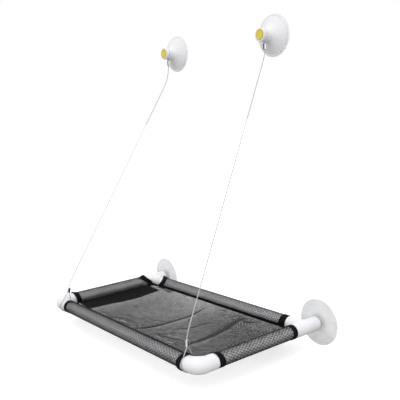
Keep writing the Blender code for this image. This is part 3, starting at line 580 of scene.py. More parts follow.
CABLE_DIAMETER = 0.0018
LOOP_PLANE = 0.0275
LOOP_RADIUS = 0.0045
LOOP_TURNS = np.radians(np.linspace(200, -20, 23))
LANE_OFFSET = 0.00145
FERRULE_LENGTH = 0.0105
FERRULE_HALF_WIDTH = 0.0038
FERRULE_HALF_THICKNESS = 0.0025
TAIL_LENGTH = 0.0012
FERRULE_DROP = 0.0170
NOOSE_RADIUS = 0.0152
NOOSE_TURNS = np.radians(np.linspace(40, 320, 33))
NOOSE_INSETS = {"left": 0.0344, "right": 0.0248}
NOOSE_LIFTS = {"left": 0.0300, "right": 0.0282}
NOOSE_LEANS = {"left": math.radians(11), "right": math.radians(6.5)}
NOOSE_SIDE_LEAN = math.radians(7)
UPPER_BENDS = {"left": 0.024, "right": 0.006}
BEND_RUN = 0.030
LOWER_RISE = 0.006
LOWER_RUN = 0.020
WIRE_LAY = 0.0125
WIRE_STEP = 0.0010


def noose_frame(side):
    """Centre of the noose, the direction of its pull and the direction across it to the front."""
    centre = Vector((SIDES[side] * (SIDE_RAIL_X - NOOSE_INSETS[side]), FRONT_RAIL_Y, 0))
    sideways = -SIDES[side] * math.tan(NOOSE_SIDE_LEAN)
    pull = Vector((sideways, math.tan(NOOSE_LEANS[side]), 1)).normalized()
    forward = Vector((1, 0, 0)).cross(pull).normalized()
    return centre, pull, forward


def cable_route(side):
    """Tail, loop over the stud, run down to the corner, noose round the elbow and second tail."""
    sign = SIDES[side]
    stud = Vector((sign * UPPER_CUP_X, -LOOP_PLANE, UPPER_CUP_Z))
    lane = Vector((sign * LANE_OFFSET, 0, 0))
    ferrule_top = stud - Vector((0, 0, FERRULE_DROP))
    ferrule_end = ferrule_top - Vector((0, 0, FERRULE_LENGTH + TAIL_LENGTH))
    route = [ferrule_end - lane, ferrule_top - lane]
    route += [stud + LOOP_RADIUS * Vector((sign * math.cos(turn), 0, math.sin(turn))) for turn in LOOP_TURNS]
    route += [ferrule_top + lane]
    centre, pull, forward = noose_frame(side)
    lift = NOOSE_LIFTS[side]
    front_lane = centre + forward * LANE_OFFSET
    back_lane = centre - forward * LANE_OFFSET
    catch = front_lane + pull * (lift + FERRULE_LENGTH + TAIL_LENGTH)
    leave = ferrule_end + lane
    run = (catch - leave).normalized()
    bend = Vector((0, 0, -UPPER_BENDS[side]))
    top_end = leave + bend + run * BEND_RUN
    low_corner = catch + pull * LOWER_RISE
    low_start = low_corner - run * LOWER_RUN
    route += curved_run(leave, leave + bend, top_end, 6)
    route += [top_end + (low_start - top_end) * step / 8 for step in range(1, 8)]
    route += curved_run(low_start, low_corner, catch, 4)
    route += [front_lane + pull * lift]
    route += [centre + NOOSE_RADIUS * (math.cos(turn) * pull + math.sin(turn) * forward)
              for turn in NOOSE_TURNS]
    route += [back_lane + pull * lift, back_lane + pull * (lift + FERRULE_LENGTH + TAIL_LENGTH)]
    return route


def evenly(route, step):
    """The same path with places at even distances, its corners eased a little."""
    spots = np.array([tuple(spot) for spot in route])
    along = np.concatenate([[0], np.cumsum(np.linalg.norm(np.diff(spots, axis=0), axis=1))])
    at = np.linspace(0, along[-1], int(round(along[-1] / step)) + 1)
    path = np.stack([np.interp(at, along, spots[:, axis]) for axis in range(3)], axis=1)
    for _ in range(3):
        path[1:-1] = (path[:-2] + 2 * path[1:-1] + path[2:]) / 4
    return path


def wire_rope(name, path):
    """Six strands laid round a core: a lobed section that turns as it goes."""
    strand = CABLE_DIAMETER / 6
    angles, radii = [], []
    for lobe in range(6):
        for turn in (-30, -17, 0, 17):
            bend = math.radians(turn)
            past_core = math.sqrt(max(0, strand ** 2 - (2 * strand * math.sin(bend)) ** 2))
            angles.append(math.radians(60 * lobe + turn))
            radii.append(2 * strand * math.cos(bend) + past_core)
    heading = headings(path)
    any_side = (0.3, 0.9, 0.1)
    across = np.cross(heading[0], any_side)
    steps = np.linalg.norm(np.diff(path, axis=0, prepend=path[:1]), axis=1)
    spots = []
    for spot, ahead, gone in zip(path, heading, np.cumsum(steps)):
        across = across - ahead * np.dot(across, ahead)
        across /= np.linalg.norm(across)
        other = np.cross(ahead, across)
        twist = FULL_TURN * gone / WIRE_LAY
        for angle, reach in zip(angles, radii):
            spots.append(spot + reach * (math.cos(angle + twist) * across + math.sin(angle + twist) * other))
    return mesh_of(name, spots, tube_faces(len(path), len(angles)), None, 75.0)


def pressed_ferrule(name, place):
    """Double sleeve squeezed on two strands: waisted section, rounded ends and three crimp marks."""
    crimp_places = (0.24, 0.5, 0.76)
    crimp_spread = 0.06
    waist_spread = 0.0009
    end_share = 0.9
    sides, rings = 40, 26
    spots = []
    for ring in range(rings + 1):
        share = ring / rings
        end_round = math.sqrt(max(0.0, 1 - max(0.0, abs(2 * share - 1) - end_share) ** 2 / 0.011))
        scale = 0.86 + 0.14 * end_round
        crimp = sum(math.exp(-((share - middle) / crimp_spread) ** 2) for middle in crimp_places)
        for side in range(sides):
            turn = FULL_TURN * side / sides
            wide = FERRULE_HALF_WIDTH * math.cos(turn)
            waist = 1 - 0.16 * math.exp(-(wide / waist_spread) ** 2)
            thick = FERRULE_HALF_THICKNESS * math.sin(turn) * waist * (1 - 0.13 * crimp)
            wide *= 1 + 0.04 * crimp
            spots.append(place @ Vector((wide * scale, thick * scale, FERRULE_LENGTH * share)))
    corners = ((0, 0), (1, 0), (1, 1), (0, 1))
    uv = [(FULL_TURN * (side + step) / sides, (ring + rise) / rings)
          for ring in range(rings) for side in range(sides) for step, rise in corners]
    uv += [(FULL_TURN * side / sides, end) for end in (0, 1) for side in range(sides)]
    return mesh_of(name, spots, tube_faces(rings + 1, sides), uv, 50.0)


def hang_cables():
    """Both ropes with their ferrules, bent between the window and the frame."""
    for side, sign in SIDES.items():
        route = evenly(cable_route(side), WIRE_STEP)
        rope = keep_piece(wire_rope(f"{side}_wire_rope", route), "cable_steel", None, f"{side}_cable")
        top = Vector((sign * UPPER_CUP_X, -LOOP_PLANE, UPPER_CUP_Z - FERRULE_DROP - FERRULE_LENGTH))
        upper = keep_piece(pressed_ferrule(f"{side}_upper_crimp", Matrix.Translation(top)),
                           "ferrule_metal", WINDOW, f"{side}_upper_ferrule")
        centre, pull, forward = noose_frame(side)
        place = Matrix((forward, pull.cross(forward), pull)).transposed().to_4x4()
        place.translation = centre + pull * NOOSE_LIFTS[side]
        lower = keep_piece(pressed_ferrule(f"{side}_lower_crimp", place),
                           "ferrule_metal", HAMMOCK, f"{side}_lower_ferrule")
        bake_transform(rope)


hang_cables()


# pipes and fittings

FITTING_RIM = 0.0009


def pipes():
    """Four straight pipes with softened rims, each on its CAD rail's place."""
    elbow_end = ELBOW_STOP + FIT_GAP
    side_end = -PIVOT_DEPTH - BALL_RADIUS - FIT_GAP - PLUG_WALL - FIT_GAP
    back_end = SIDE_RAIL_X - PIPE_RADIUS - FIT_GAP
    inner = PIPE_RADIUS - PIPE_WALL
    along_y = Matrix.Rotation(-math.pi / 2, 4, "X")
    along_x = Matrix.Rotation(math.pi / 2, 4, "Y")
    table = (("front_rail", elbow_end - SIDE_RAIL_X, SIDE_RAIL_X - elbow_end, (0, FRONT_RAIL_Y, 0), along_x),
             ("back_rail", -back_end, back_end, (0, BACK_RAIL_Y, 0), along_x),
             ("left_side_rail", FRONT_RAIL_Y + elbow_end, side_end, (-SIDE_RAIL_X, 0, 0), along_y),
             ("right_side_rail", FRONT_RAIL_Y + elbow_end, side_end, (SIDE_RAIL_X, 0, 0), along_y))
    made = {}
    for node, start, end, origin, turn in table:
        profile = [(inner, start), (PIPE_RADIUS, start), (PIPE_RADIUS, end), (inner, end)]
        mesh = turned(node.replace("rail", "pipe"), profile, 64)
        mesh.transform(Matrix.Translation(origin) @ turn)
        made[node] = keep_piece(mesh, "white_pipe", HAMMOCK, node)
    return made


def elbow_mesh(name):
    """A bent pipe that swells round its corner, with softened rims and a faint parting line."""
    seam_height, seam_spread = 0.00010, 0.05
    sides, steps, bore_steps = 72, 40, 12
    straight = ELBOW_LEG - ELBOW_BEND
    arc = ELBOW_BEND * math.pi / 2
    total = 2 * straight + arc

    def station(gone):
        if gone <= straight:
            return Vector((-ELBOW_LEG + gone, 0, 0)), Vector((1, 0, 0)), 0.0
        if gone >= straight + arc:
            return Vector((0, gone - straight - arc + ELBOW_BEND, 0)), Vector((0, 1, 0)), 0.0
        share = (gone - straight) / arc
        turn = math.pi / 2 * (share - 1)
        outward = Vector((math.cos(turn), math.sin(turn), 0))
        middle = Vector((-ELBOW_BEND, ELBOW_BEND, 0))
        return middle + ELBOW_BEND * outward, Vector((-math.sin(turn), math.cos(turn), 0)), share

    def ring(gone, radius, swell=0.0):
        centre, heading, share = station(gone)
        reach = radius + swell * math.sin(math.pi * share)
        across = Vector((-heading.y, heading.x, 0))
        spots = []
        for side in range(sides):
            turn = FULL_TURN * side / sides
            seam = seam_height * math.exp(-(math.sin(turn) / seam_spread) ** 2) if swell else 0.0
            outward = math.cos(turn) * across + Vector((0, 0, math.sin(turn)))
            spots.append(centre + (reach + seam) * outward)
        return spots

    rim = FITTING_RIM
    stop = ELBOW_LEG - ELBOW_STOP
    outer = FITTING_RADIUS
    rim_turns = [math.pi / 2 * step / 5 for step in range(6)]
    rings = [ring(rim * (1 - math.sin(turn)), outer - rim * (1 - math.sin(turn)), ELBOW_SWELL)
             for turn in rim_turns]
    rings += [ring(rim + (total - 2 * rim) * step / steps, outer, ELBOW_SWELL) for step in range(1, steps)]
    rings += [ring(total - rim + rim * math.sin(turn), outer - rim * (1 - math.cos(turn)), ELBOW_SWELL)
              for turn in rim_turns]
    rings += [ring(total, SOCKET_RADIUS), ring(total - stop, SOCKET_RADIUS)]
    rings += [ring(total - stop - (total - 2 * stop) * step / bore_steps, FITTING_BORE)
              for step in range(bore_steps + 1)]
    rings += [ring(stop, SOCKET_RADIUS), ring(0, SOCKET_RADIUS)]
    spots = [spot for one in rings for spot in one]
    return mesh_of(name, spots, tube_faces(len(rings), sides, True), None, 50.0)


def corner_elbows():
    """One elbow at each front corner, the left one a quarter turn from the right one."""
    for side, sign in SIDES.items():
        mesh = elbow_mesh(f"{side}_corner_elbow")
        turn = Matrix.Rotation(0 if side == "right" else -math.pi / 2, 4, "Z")
        mesh.transform(Matrix.Translation((sign * SIDE_RAIL_X, FRONT_RAIL_Y, 0)) @ turn)
        keep_piece(mesh, "white_fitting", HAMMOCK, f"{side}_front_elbow")


def smooth_union(first, second, round_off):
    mix = np.clip(0.5 + 0.5 * (second - first) / round_off, 0, 1)
    return second * (1 - mix) + first * mix - round_off * mix * (1 - mix)


def capped(radial, radius, along, low, high):
    """Distance outside a rod with rounded rims."""
    side_gap = radial - radius + FITTING_RIM
    end_gap = np.maximum(low - along, along - high) + FITTING_RIM
    outside = np.sqrt(np.maximum(side_gap, 0) ** 2 + np.maximum(end_gap, 0) ** 2)
    return np.minimum(np.maximum(side_gap, end_gap), 0) + outside - FITTING_RIM


def tee_field(spots, sign):
    """Distance outside a moulded tee: run along Y, branch towards the middle, both bored."""
    branch_start = 0.002
    branch_slimmer = 0.0002
    branch_bore_wider = 0.0001
    fillet, bore_edge = 0.0030, 0.0003
    x, y, z = spots[:, 0] - sign * SIDE_RAIL_X, spots[:, 1] - BACK_RAIL_Y, spots[:, 2]
    inward = -sign * x
    run = capped(np.hypot(x, z), FITTING_RADIUS, y, -TEE_FRONT_LEG, TEE_REAR_LEG)
    branch = capped(np.hypot(y, z), FITTING_RADIUS - branch_slimmer, inward, -branch_start, TEE_BRANCH_LEG)
    run_bore = np.hypot(x, z) - SOCKET_RADIUS
    branch_bore = np.maximum(np.hypot(y, z) - SOCKET_RADIUS + branch_bore_wider, -inward)
    return -smooth_union(-smooth_union(run, branch, fillet), np.minimum(run_bore, branch_bore), bore_edge)


def pulled_to(mesh, field, rounds=4):
    """Slide every point of a mesh onto a field's zero, so that it is smooth."""
    step = 0.00002
    least_slope, longest_move = 0.25, 0.0006
    spots = np.empty(len(mesh.vertices) * 3)
    mesh.vertices.foreach_get("co", spots)
    spots = spots.reshape(-1, 3)
    for _ in range(rounds):
        slope = np.stack([(field(spots + axis) - field(spots - axis)) / (2 * step)
                          for axis in np.eye(3) * step], axis=1)
        size = np.maximum((slope ** 2).sum(axis=1), least_slope)
        spots = spots - slope * np.clip(field(spots) / size, -longest_move, longest_move)[:, None]
    mesh.vertices.foreach_set("co", spots.reshape(-1))
    mesh.update()


def rear_tees():
    """An even skin over each CAD tee, pulled onto the tee's smooth field."""
    same_place = 0.00001
    for side, sign in SIDES.items():
        solid = tidy_mesh(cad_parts[f"{side}_rear_tee"].data.copy(), 40.0, same_place)
        work = placed(f"{side}_tee_skin", solid)
        grid = work.modifiers.new("grid", "REMESH")
        grid.mode = "VOXEL"
        grid.voxel_size = 0.0007
        mesh = baked(work, f"{side}_pipe_tee")
        pulled_to(mesh, lambda spots: tee_field(spots, sign))
        keep_piece(tidy_mesh(mesh, 50.0), "white_fitting", HAMMOCK, f"{side}_rear_tee")


def arc_profile(radius, height, start, end, steps):
    """Profile places on a ball's outline, from one angle to another."""
    turns = [start + (end - start) * step / steps for step in range(steps + 1)]
    return [(radius * math.sin(turn), height + radius * math.cos(turn), 0.0) for turn in turns]


def skirt_ripples(outer, outer_height, inner, inner_height):
    """Fine moulded ridges between two radii of a cup's skirt."""
    ridges, ridge_height, corner = 5, 0.00025, 0.0005
    points = []
    for ridge in range(ridges):
        for part, rise in ((0.15, 0.0), (0.35, ridge_height), (0.65, ridge_height), (0.85, 0.0)):
            share = (ridge + part) / ridges
            points.append((outer + (inner - outer) * share,
                           outer_height + (inner_height - outer_height) * share + rise, corner))
    return points


# Profiles are radii and distances from the glass. A third number is the radius of that corner.
STUD_RADIUS = 0.0030
BORE = STUD_RADIUS + FIT_GAP
CUP_RIM = [(0, 0.0006), (0.0334, 0.0006), (0.0340, 0.0), (0.0465, 0.0, 0.0003), (0.0465, 0.0010, 0.0003)]
CUP_NECK = [(0.0300, 0.0017, 0.0020), (0.0110, 0.0030, 0.0025), (0.0055, 0.0054, 0.0015)]
NECK_RADIUS = 0.0055
MOUTH_OFFSET = 0.0020
PAD = [(0, 0.0006), (0.0300, 0.0006), (0.0306, 0.0), (0.0416, 0.0, 0.0004), (0.0416, 0.0014, 0.0004),
       (0.0393, 0.0023, 0.0008), (0.0345, 0.0030, 0.0008), (0.0240, 0.0068, 0.002), (0.0120, 0.0092, 0.002),
       (0.0082, 0.0125, 0.0006), (BORE, 0.0125), (BORE, 0.0065), (0.0063, 0.0065), (0.0063, 0.0045),
       (0, 0.0045)]
COVER = [(0.0395, 0.0030, 0.0003), (0.0392, 0.0054, 0.0008), (0.0371, 0.0049, 0.0005),
         (0.0345, 0.0068, 0.0014), (0.0240, 0.0124, 0.006), (0.0150, 0.0182, 0.0030),
         (0.0133, 0.0200, 0.0012), (0.0133, 0.0310, 0.0006), (BORE, 0.0310), (BORE, 0.0160),
         (0.0129, 0.0160), (0.0219, 0.0103), (0.0324, 0.0047), (0.0374, 0.0030)]
THREAD_TURNS, THREAD_PITCH, THREAD_START, THREAD_ROOT = 20, 0.0008, 0.0200, 0.00265
STUD_HEAD = [(0, 0.0048), (0.0060, 0.0048), (0.0060, 0.0062), (STUD_RADIUS, 0.0062)]
STUD_TIP = [(0.0028, 0.0366), (0, 0.0366)]
WASHER = [(BORE, 0.0313), (0.0120, 0.0313), (0.0120, 0.0319), (BORE, 0.0319)]
KNOB = [(0, 0.0380), (0.0059, 0.0380), (0.0059, 0.0322), (0.0133, 0.0322, 0.0007), (0.0133, 0.0400, 0.0012),
        (0.0098, 0.0400, 0.0003), (0.0098, 0.0393), (0, 0.0393)]
NUT = [(BORE, 0.0325), (0.0056, 0.0325), (0.0056, 0.0377), (BORE, 0.0377)]
DISC = [(0, 0.0396), (0.0095, 0.0396), (0.0095, 0.0404, 0.0002), (0.0086, 0.0404, 0.0002),
        (0.0083, 0.04022, 0.0002), (0, 0.04022)]


def ball_joints():
    """Plugs in the ends of the side pipes, and the flat cups whose balls sit in them."""
    socket = BALL_RADIUS + FIT_GAP
    front = PIVOT_DEPTH - MOUTH_OFFSET
    back = PIVOT_DEPTH + socket + PLUG_WALL
    hollow = arc_profile(socket, PIVOT_DEPTH, 0.0, math.acos(-MOUTH_OFFSET / socket), 16)
    plug = hollow + [(PIPE_RADIUS, front, 0.0008), (PIPE_RADIUS, back, 0.0004), (0, back)]
    ball = arc_profile(BALL_RADIUS, PIVOT_DEPTH, math.pi - math.asin(NECK_RADIUS / BALL_RADIUS), 0.0, 20)
    ball[-1] = (0, ball[-1][1])
    cup = CUP_RIM + skirt_ripples(0.0462, 0.00102, 0.0300, 0.0017) + CUP_NECK + ball
    for side, sign in SIDES.items():
        mesh = facing_room(turned(f"{side}_socket_plug", plug, 64, sharp=35.0), sign * SIDE_RAIL_X, 0)
        keep_piece(mesh, "white_fitting", HAMMOCK, f"{side}_ball_plug")
        mesh = facing_room(turned(f"{side}_glass_cup", cup, 144, sharp=30.0), sign * SIDE_RAIL_X, 0)
        keep_piece(mesh, "lower_cup_vinyl", WINDOW, f"{side}_lower_cup")


def upper_cups():
    """Screw cups, each part turned about its stud, square to the glass."""
    stud = STUD_HEAD[:]
    for turn in range(THREAD_TURNS):
        base = THREAD_START + THREAD_PITCH * turn
        stud += [(STUD_RADIUS, base, 0.0), (THREAD_ROOT, base + THREAD_PITCH / 2, 0.0)]
    stud += STUD_TIP
    parts = (("suction_pad", "vinyl_pad", PAD, 128, "upper_pad_vinyl", WINDOW),
             ("cup_cover", "pad_cover", COVER, 128, "cover_plastic", WINDOW),
             ("cup_stud", "threaded_stud", stud, 40, "hardware_steel", WINDOW),
             ("knob_washer", "flat_washer", WASHER, 64, "hardware_steel", "{side}_washer"),
             ("knob", "lock_knob", KNOB, 96, "knob_plastic", "{side}_knob"),
             ("knob_nut", "captive_nut", NUT, 6, "nut_brass", "{side}_knob"),
             ("knob_disc", "plain_disc", DISC, 96, "disc_yellow", "{side}_knob"))
    for node, name, profile, sides, finish, body in parts:
        for side, sign in SIDES.items():
            mesh = turned(f"{side}_{name}", profile, sides, 0.00025, 32.0)
            keep_piece(facing_room(mesh, sign * UPPER_CUP_X, UPPER_CUP_Z), finish, body.format(side=side),
                       f"{side}_{node}")


PIPES = pipes()
corner_elbows()
rear_tees()
ball_joints()
upper_cups()


# sleeves and bindings

ELBOW_RIM = SIDE_RAIL_X - ELBOW_LEG - FIT_GAP
LAP_BEFORE_RIM = 0.0021
ELBOW_RIM_Y = FRONT_RAIL_Y + ELBOW_LEG - LAP_BEFORE_RIM
TEE_RIM = BACK_RAIL_Y - TEE_FRONT_LEG - FIT_GAP
# Where each sleeve starts and ends along its rail.
SLEEVES = {
    "front": (-0.2120, 0.2317),
    "back": (-0.2160, 0.2206),
    "left": (-0.2676, -0.0655),
    "right": (-0.2676, -0.0756),
}
# Where cloth rides up over the end of a fitting: below the first place and above the second.
LAPS = {
    "front": (None, ELBOW_RIM),
    "back": (-0.2130, None),
    "left": (ELBOW_RIM_Y, TEE_RIM),
    "right": (ELBOW_RIM_Y, None),
}
# How the cut end of a sleeve leaves a square cut: everywhere, more on one side and which side it is,
# and more on two opposite sides and which they are.
SLANTS = {
    ("left", "a"): (-0.0035, 0.0035, math.radians(-80), 0.0, 0.0),
    ("left", "b"): (0.0060, 0.0090, math.radians(-90), 0.0040, math.radians(150)),
    ("right", "a"): (-0.0010, 0.0030, math.radians(-62), 0.0, 0.0),
    ("front", "b"): (0.0010, 0.0040, math.radians(60), 0.0, 0.0),
    ("back", "a"): (0.0040, 0.0020, math.radians(64), 0.0065, math.radians(144)),
    ("back", "b"): (-0.0010, 0.0030, math.radians(100), 0.0, 0.0),
}
SLANT_REACH = 0.035
PLAIN_BAND = 0.0110
BAND_WIDTHS = {("left", "a"): 0.0130, ("left", "b"): 0.0165, ("back", "a"): 0.0170, ("back", "b"): 0.0165,
               ("right", "a"): 0.0125}
BAND_UNDER, BAND_OVER = 0.0003, 0.0007
BAND_FOLD, FOLD_REACH = 0.0005, 0.0012
CLOSED_END, CLOSED_SHARE = 0.002, 0.6

# The angle of each seam tape round its rail and half its width.
TAPE_PLACES = (("front", math.radians(51), 0.0052), ("back", math.radians(206), 0.0042))
STITCH_SIZES = {"Stitch Pitch": 0.0030, "Stitch Length": 0.0023, "Stitch Width": 0.00055,
                "Stitch Height": 0.00045}
STITCH_INSET = 0.0021
STITCH_LIFT = 0.00005
SLEEVE_YARNS = 80
YARN_HEIGHT = 0.00036
YARN_WIDTH = 0.00012
YARN_LEVEL = SLEEVE_OUTER - 0.0001
YARN_INSET = 0.002
# A sleeve's yarns have close places along their two ends, which follow the cloth over the fittings.
YARN_FIRST_END, YARN_LAST_END = 0.02, 0.045


def on_rail(rail, spot, turn, reach):
    """Places along a rail, turned round it and at a distance from its axis, and the way outward there."""
    along, across, up = np.eye(3)
    if rail in SIDES:
        origin = np.array((SIDES[rail] * SIDE_RAIL_X, 0, 0))
        along, across = across, along
    else:
        origin = np.array((0, FRONT_RAIL_Y if rail == "front" else BACK_RAIL_Y, 0))
    spot, turn, reach = (np.asarray(one)[..., None] for one in (spot, turn, reach))
    outward = np.cos(turn) * across + np.sin(turn) * up
    places = origin + spot * along + reach * outward
    return places, np.broadcast_to(outward, places.shape)


def lapped(spot, rail):
    """How much wider cloth is where it passes over the end of a fitting."""
    low, high = LAPS[rail]
    share = 0.0 * spot
    if high is not None:
        share = np.clip((spot - high) / SLEEVE_RAMP + 1, 0, 1)
    if low is not None:
        share = np.maximum(share, np.clip((low - spot) / SLEEVE_RAMP + 1, 0, 1))
    return (FITTING_RADIUS - PIPE_RADIUS) * share * share * (3 - 2 * share)


def cut_shift(rail, mark, turn):
    shift, lead, side, saddle, saddle_side = SLANTS.get((rail, mark), (0.0,) * 5)
    return shift + lead * np.cos(turn - side) + saddle * np.cos(2 * (turn - saddle_side))


def cloth_tube(name, rail, inner, outer, low, high, rows, mark=None, edge=0.0, ripple=0.0):
    """A closed tube of cloth round a rail, whose ends may run on a slant."""
    share, turn = np.meshgrid(np.linspace(0, 1, rows + 1), np.linspace(0, FULL_TURN, 91), indexing="ij")
    gone = share * (high - low)
    if mark:
        shift = cut_shift(rail, mark, turn)
    else:
        shift = (cut_shift(rail, "a", turn) * np.clip(1 - gone / SLANT_REACH, 0, 1)
                 + cut_shift(rail, "b", turn) * np.clip(1 - (high - low - gone) / SLANT_REACH, 0, 1))
    spot = low + gone + shift
    # Slow and quick waves, along the rail and round it.
    unevenness = ripple * (np.sin(spot * 210 + 2 * turn) * np.sin(spot * 57 + 1.3)
                           + 0.6 * np.sin(spot * 390 - 3 * turn))
    ends = np.minimum(share, 1 - share) * (high - low)
    tuck = edge * np.clip(1 - ends / FOLD_REACH, 0, 1) ** 2
    extra = lapped(spot, rail) + unevenness
    over, _ = on_rail(rail, spot, turn, outer + extra - tuck)
    under, _ = on_rail(rail, spot, turn, inner + extra + tuck * 0.3)
    place = np.stack([spot, turn / FULL_TURN * NET_LENGTH_ROUND], axis=-1)
    marks = np.clip(1 - ends / CLOSED_END, 0, 1) * CLOSED_SHARE
    return shell(name, over[:, :-1], under[:, :-1], place, True, 60.0, marks[:, :-1])


def node_tree(name, inputs):
    """A geometry tree with one line input, named sizes and one output, its inputs and the way outward."""
    tree = bpy.data.node_groups.new(name, "GeometryNodeTree")
    tree.interface.new_socket("Lines", in_out="INPUT", socket_type="NodeSocketGeometry")
    for title in inputs:
        tree.interface.new_socket(title, in_out="INPUT", socket_type="NodeSocketFloat")
    tree.interface.new_socket("Finish", in_out="INPUT", socket_type="NodeSocketMaterial")
    tree.interface.new_socket("Made", in_out="OUTPUT", socket_type="NodeSocketGeometry")
    given = tree.nodes.new("NodeGroupInput").outputs
    outward = grow(tree, "InputNamedAttribute", {"data_type": "FLOAT_VECTOR"}, Name="outward")
    return tree, given, outward, grow(tree, "MeshToCurve", Mesh=given["Lines"])


def grow(tree, kind, settings=None, **inputs):
    """The first output of a new geometry node."""
    return put(tree, "GeometryNode" + kind, settings, **inputs).outputs[0]


def close_tree(tree, made, finish):
    whole = grow(tree, "RealizeInstances", Geometry=made)
    dressed = grow(tree, "SetMaterial", Geometry=whole, Material=finish)
    put(tree, "NodeGroupOutput", Made=dressed)
    return tree


def yarn_tree():
    """Flat yarns that stand on their edge along every line."""
    tree, given, outward, lines = node_tree("standing_yarns", ("Yarn Height", "Yarn Width"))
    lines = grow(tree, "SetCurveNormal", {"mode": "FREE"}, Normal=outward, Curve=lines)
    section = grow(tree, "CurvePrimitiveQuadrilateral", Width=given["Yarn Height"],
                   Height=given["Yarn Width"])
    made = grow(tree, "CurveToMesh", Curve=lines, Profile_Curve=section, Fill_Caps=True)
    return close_tree(tree, made, given["Finish"])


def stitch_tree():
    """Short rounded stitches set end to end along every line, square to the cloth."""
    tree, given, outward, lines = node_tree("row_of_stitches", tuple(STITCH_SIZES))
    places = grow(tree, "ResampleCurve", {"mode": "LENGTH"}, Curve=lines, Length=given["Stitch Pitch"])
    along = put(tree, "FunctionNodeAlignRotationToVector", {"axis": "X"},
                Vector=grow(tree, "InputTangent")).outputs[0]
    facing = put(tree, "FunctionNodeAlignRotationToVector", {"axis": "Z", "pivot_axis": "X"},
                 Rotation=along, Vector=outward).outputs[0]
    size = put(tree, "ShaderNodeCombineXYZ", X=given["Stitch Length"], Y=given["Stitch Width"],
               Z=given["Stitch Height"]).outputs[0]
    bead = grow(tree, "MeshUVSphere", Segments=8, Rings=5, Radius=0.5)
    stitch = grow(tree, "Transform", Geometry=bead, Scale=size)
    made = grow(tree, "InstanceOnPoints", Points=places, Instance=stitch, Rotation=facing)
    return close_tree(tree, made, given["Finish"])


YARN_TREE = yarn_tree()
STITCH_TREE = stitch_tree()


def grown(name, tree, lines, sizes, finish, sharp):
    """The mesh that a tree makes along lines, each of places, ways outward and whether it is a ring."""
    edges = []
    start = 0
    for places, _, ring in lines:
        last = start + len(places) - 1
        edges += [(at, at + 1) for at in range(start, last)] + ([(last, start)] if ring else [])
        start = last + 1
    mesh = bpy.data.meshes.new(f"{name}_lines")
    mesh.from_pydata(np.concatenate([places for places, _, _ in lines]).tolist(), edges, [])
    all_ways = np.concatenate([ways for _, ways, _ in lines]).astype(np.float32)
    layer = mesh.attributes.new("outward", "FLOAT_VECTOR", "POINT")
    layer.data.foreach_set("vector", all_ways.ravel())
    work = placed(name, mesh)
    grower = work.modifiers.new("grower", "NODES")
    grower.node_group = tree
    values = {**sizes, "Finish": finish}
    for item in tree.interface.items_tree:
        if item.in_out == "INPUT" and item.name in values:
            grower[item.identifier] = values[item.name]
    return keep_piece(tidy_mesh(baked(work, name), sharp), finish, HAMMOCK)


def standing_yarns(name, lines, height):
    return grown(name, YARN_TREE, lines, {"Yarn Height": height, "Yarn Width": YARN_WIDTH}, YARN, 30.0)


def stitches(name, lines):
    return grown(name, STITCH_TREE, lines, STITCH_SIZES, THREAD, 60.0)


def sleeve_yarns(rail):
    """Lengthwise yarns that stand in the net round a pipe."""
    start, end = SLEEVES[rail]
    lines = []
    for count in range(SLEEVE_YARNS):
        turn = FULL_TURN * (count + 0.5) / SLEEVE_YARNS
        first = start + YARN_INSET + cut_shift(rail, "a", turn)
        last = end - YARN_INSET + cut_shift(rail, "b", turn)
        spot = np.concatenate([np.linspace(first, first + YARN_FIRST_END, 14),
                               np.linspace(last - YARN_LAST_END, last, 24)])
        lines.append((*on_rail(rail, spot, turn, YARN_LEVEL - YARN_HEIGHT / 2 + lapped(spot, rail)), False))
    return standing_yarns(f"{rail}_sleeve_yarns", lines, YARN_HEIGHT)


def binding_row(rail, mark, start):
    """A row of stitches round an end binding, as a closed line."""
    turn = FULL_TURN * np.arange(72) / 72
    spot = start + cut_shift(rail, mark, turn)
    return *on_rail(rail, spot, turn, SLEEVE_OUTER + BAND_OVER + STITCH_LIFT + lapped(spot, rail)), True


def dress_rails():
    """Net sleeves with a folded black binding at both ends."""
    row_length = 0.0030
    made = {}
    for rail, (start, end) in SLEEVES.items():
        rows = int((end - start) / row_length)
        mesh = cloth_tube(f"{rail}_net_sleeve", rail, SLEEVE_OUTER - SLEEVE_THICKNESS, SLEEVE_OUTER,
                          start, end, rows, ripple=0.00008)
        # The back sleeve takes the paler net, as painted light.
        sleeve = keep_piece(mesh, PAINTED_LIGHT_BACK_NET if rail == "back" else FINISHES["sleeve_mesh"], HAMMOCK,
                            f"{rail}_sleeve")
        yarns = sleeve_yarns(rail)
        bands, lines = [], []
        for mark in ("a", "b"):
            wide = BAND_WIDTHS.get((rail, mark), PLAIN_BAND)
            low = start if mark == "a" else end - wide
            mesh = cloth_tube(f"{rail}_end_binding_{mark}", rail, SLEEVE_OUTER - BAND_UNDER,
                              SLEEVE_OUTER + BAND_OVER, low, low + wide, 18, mark, BAND_FOLD, 0.00005)
            bands.append(keep_piece(mesh, "black_binding", HAMMOCK, f"{rail}_binding_{mark}"))
            lines += [binding_row(rail, mark, low + inset) for inset in (STITCH_INSET, wide - STITCH_INSET)]
        made[rail] = (sleeve, bands + [yarns, stitches(f"{rail}_binding_stitches", lines)])
    return made


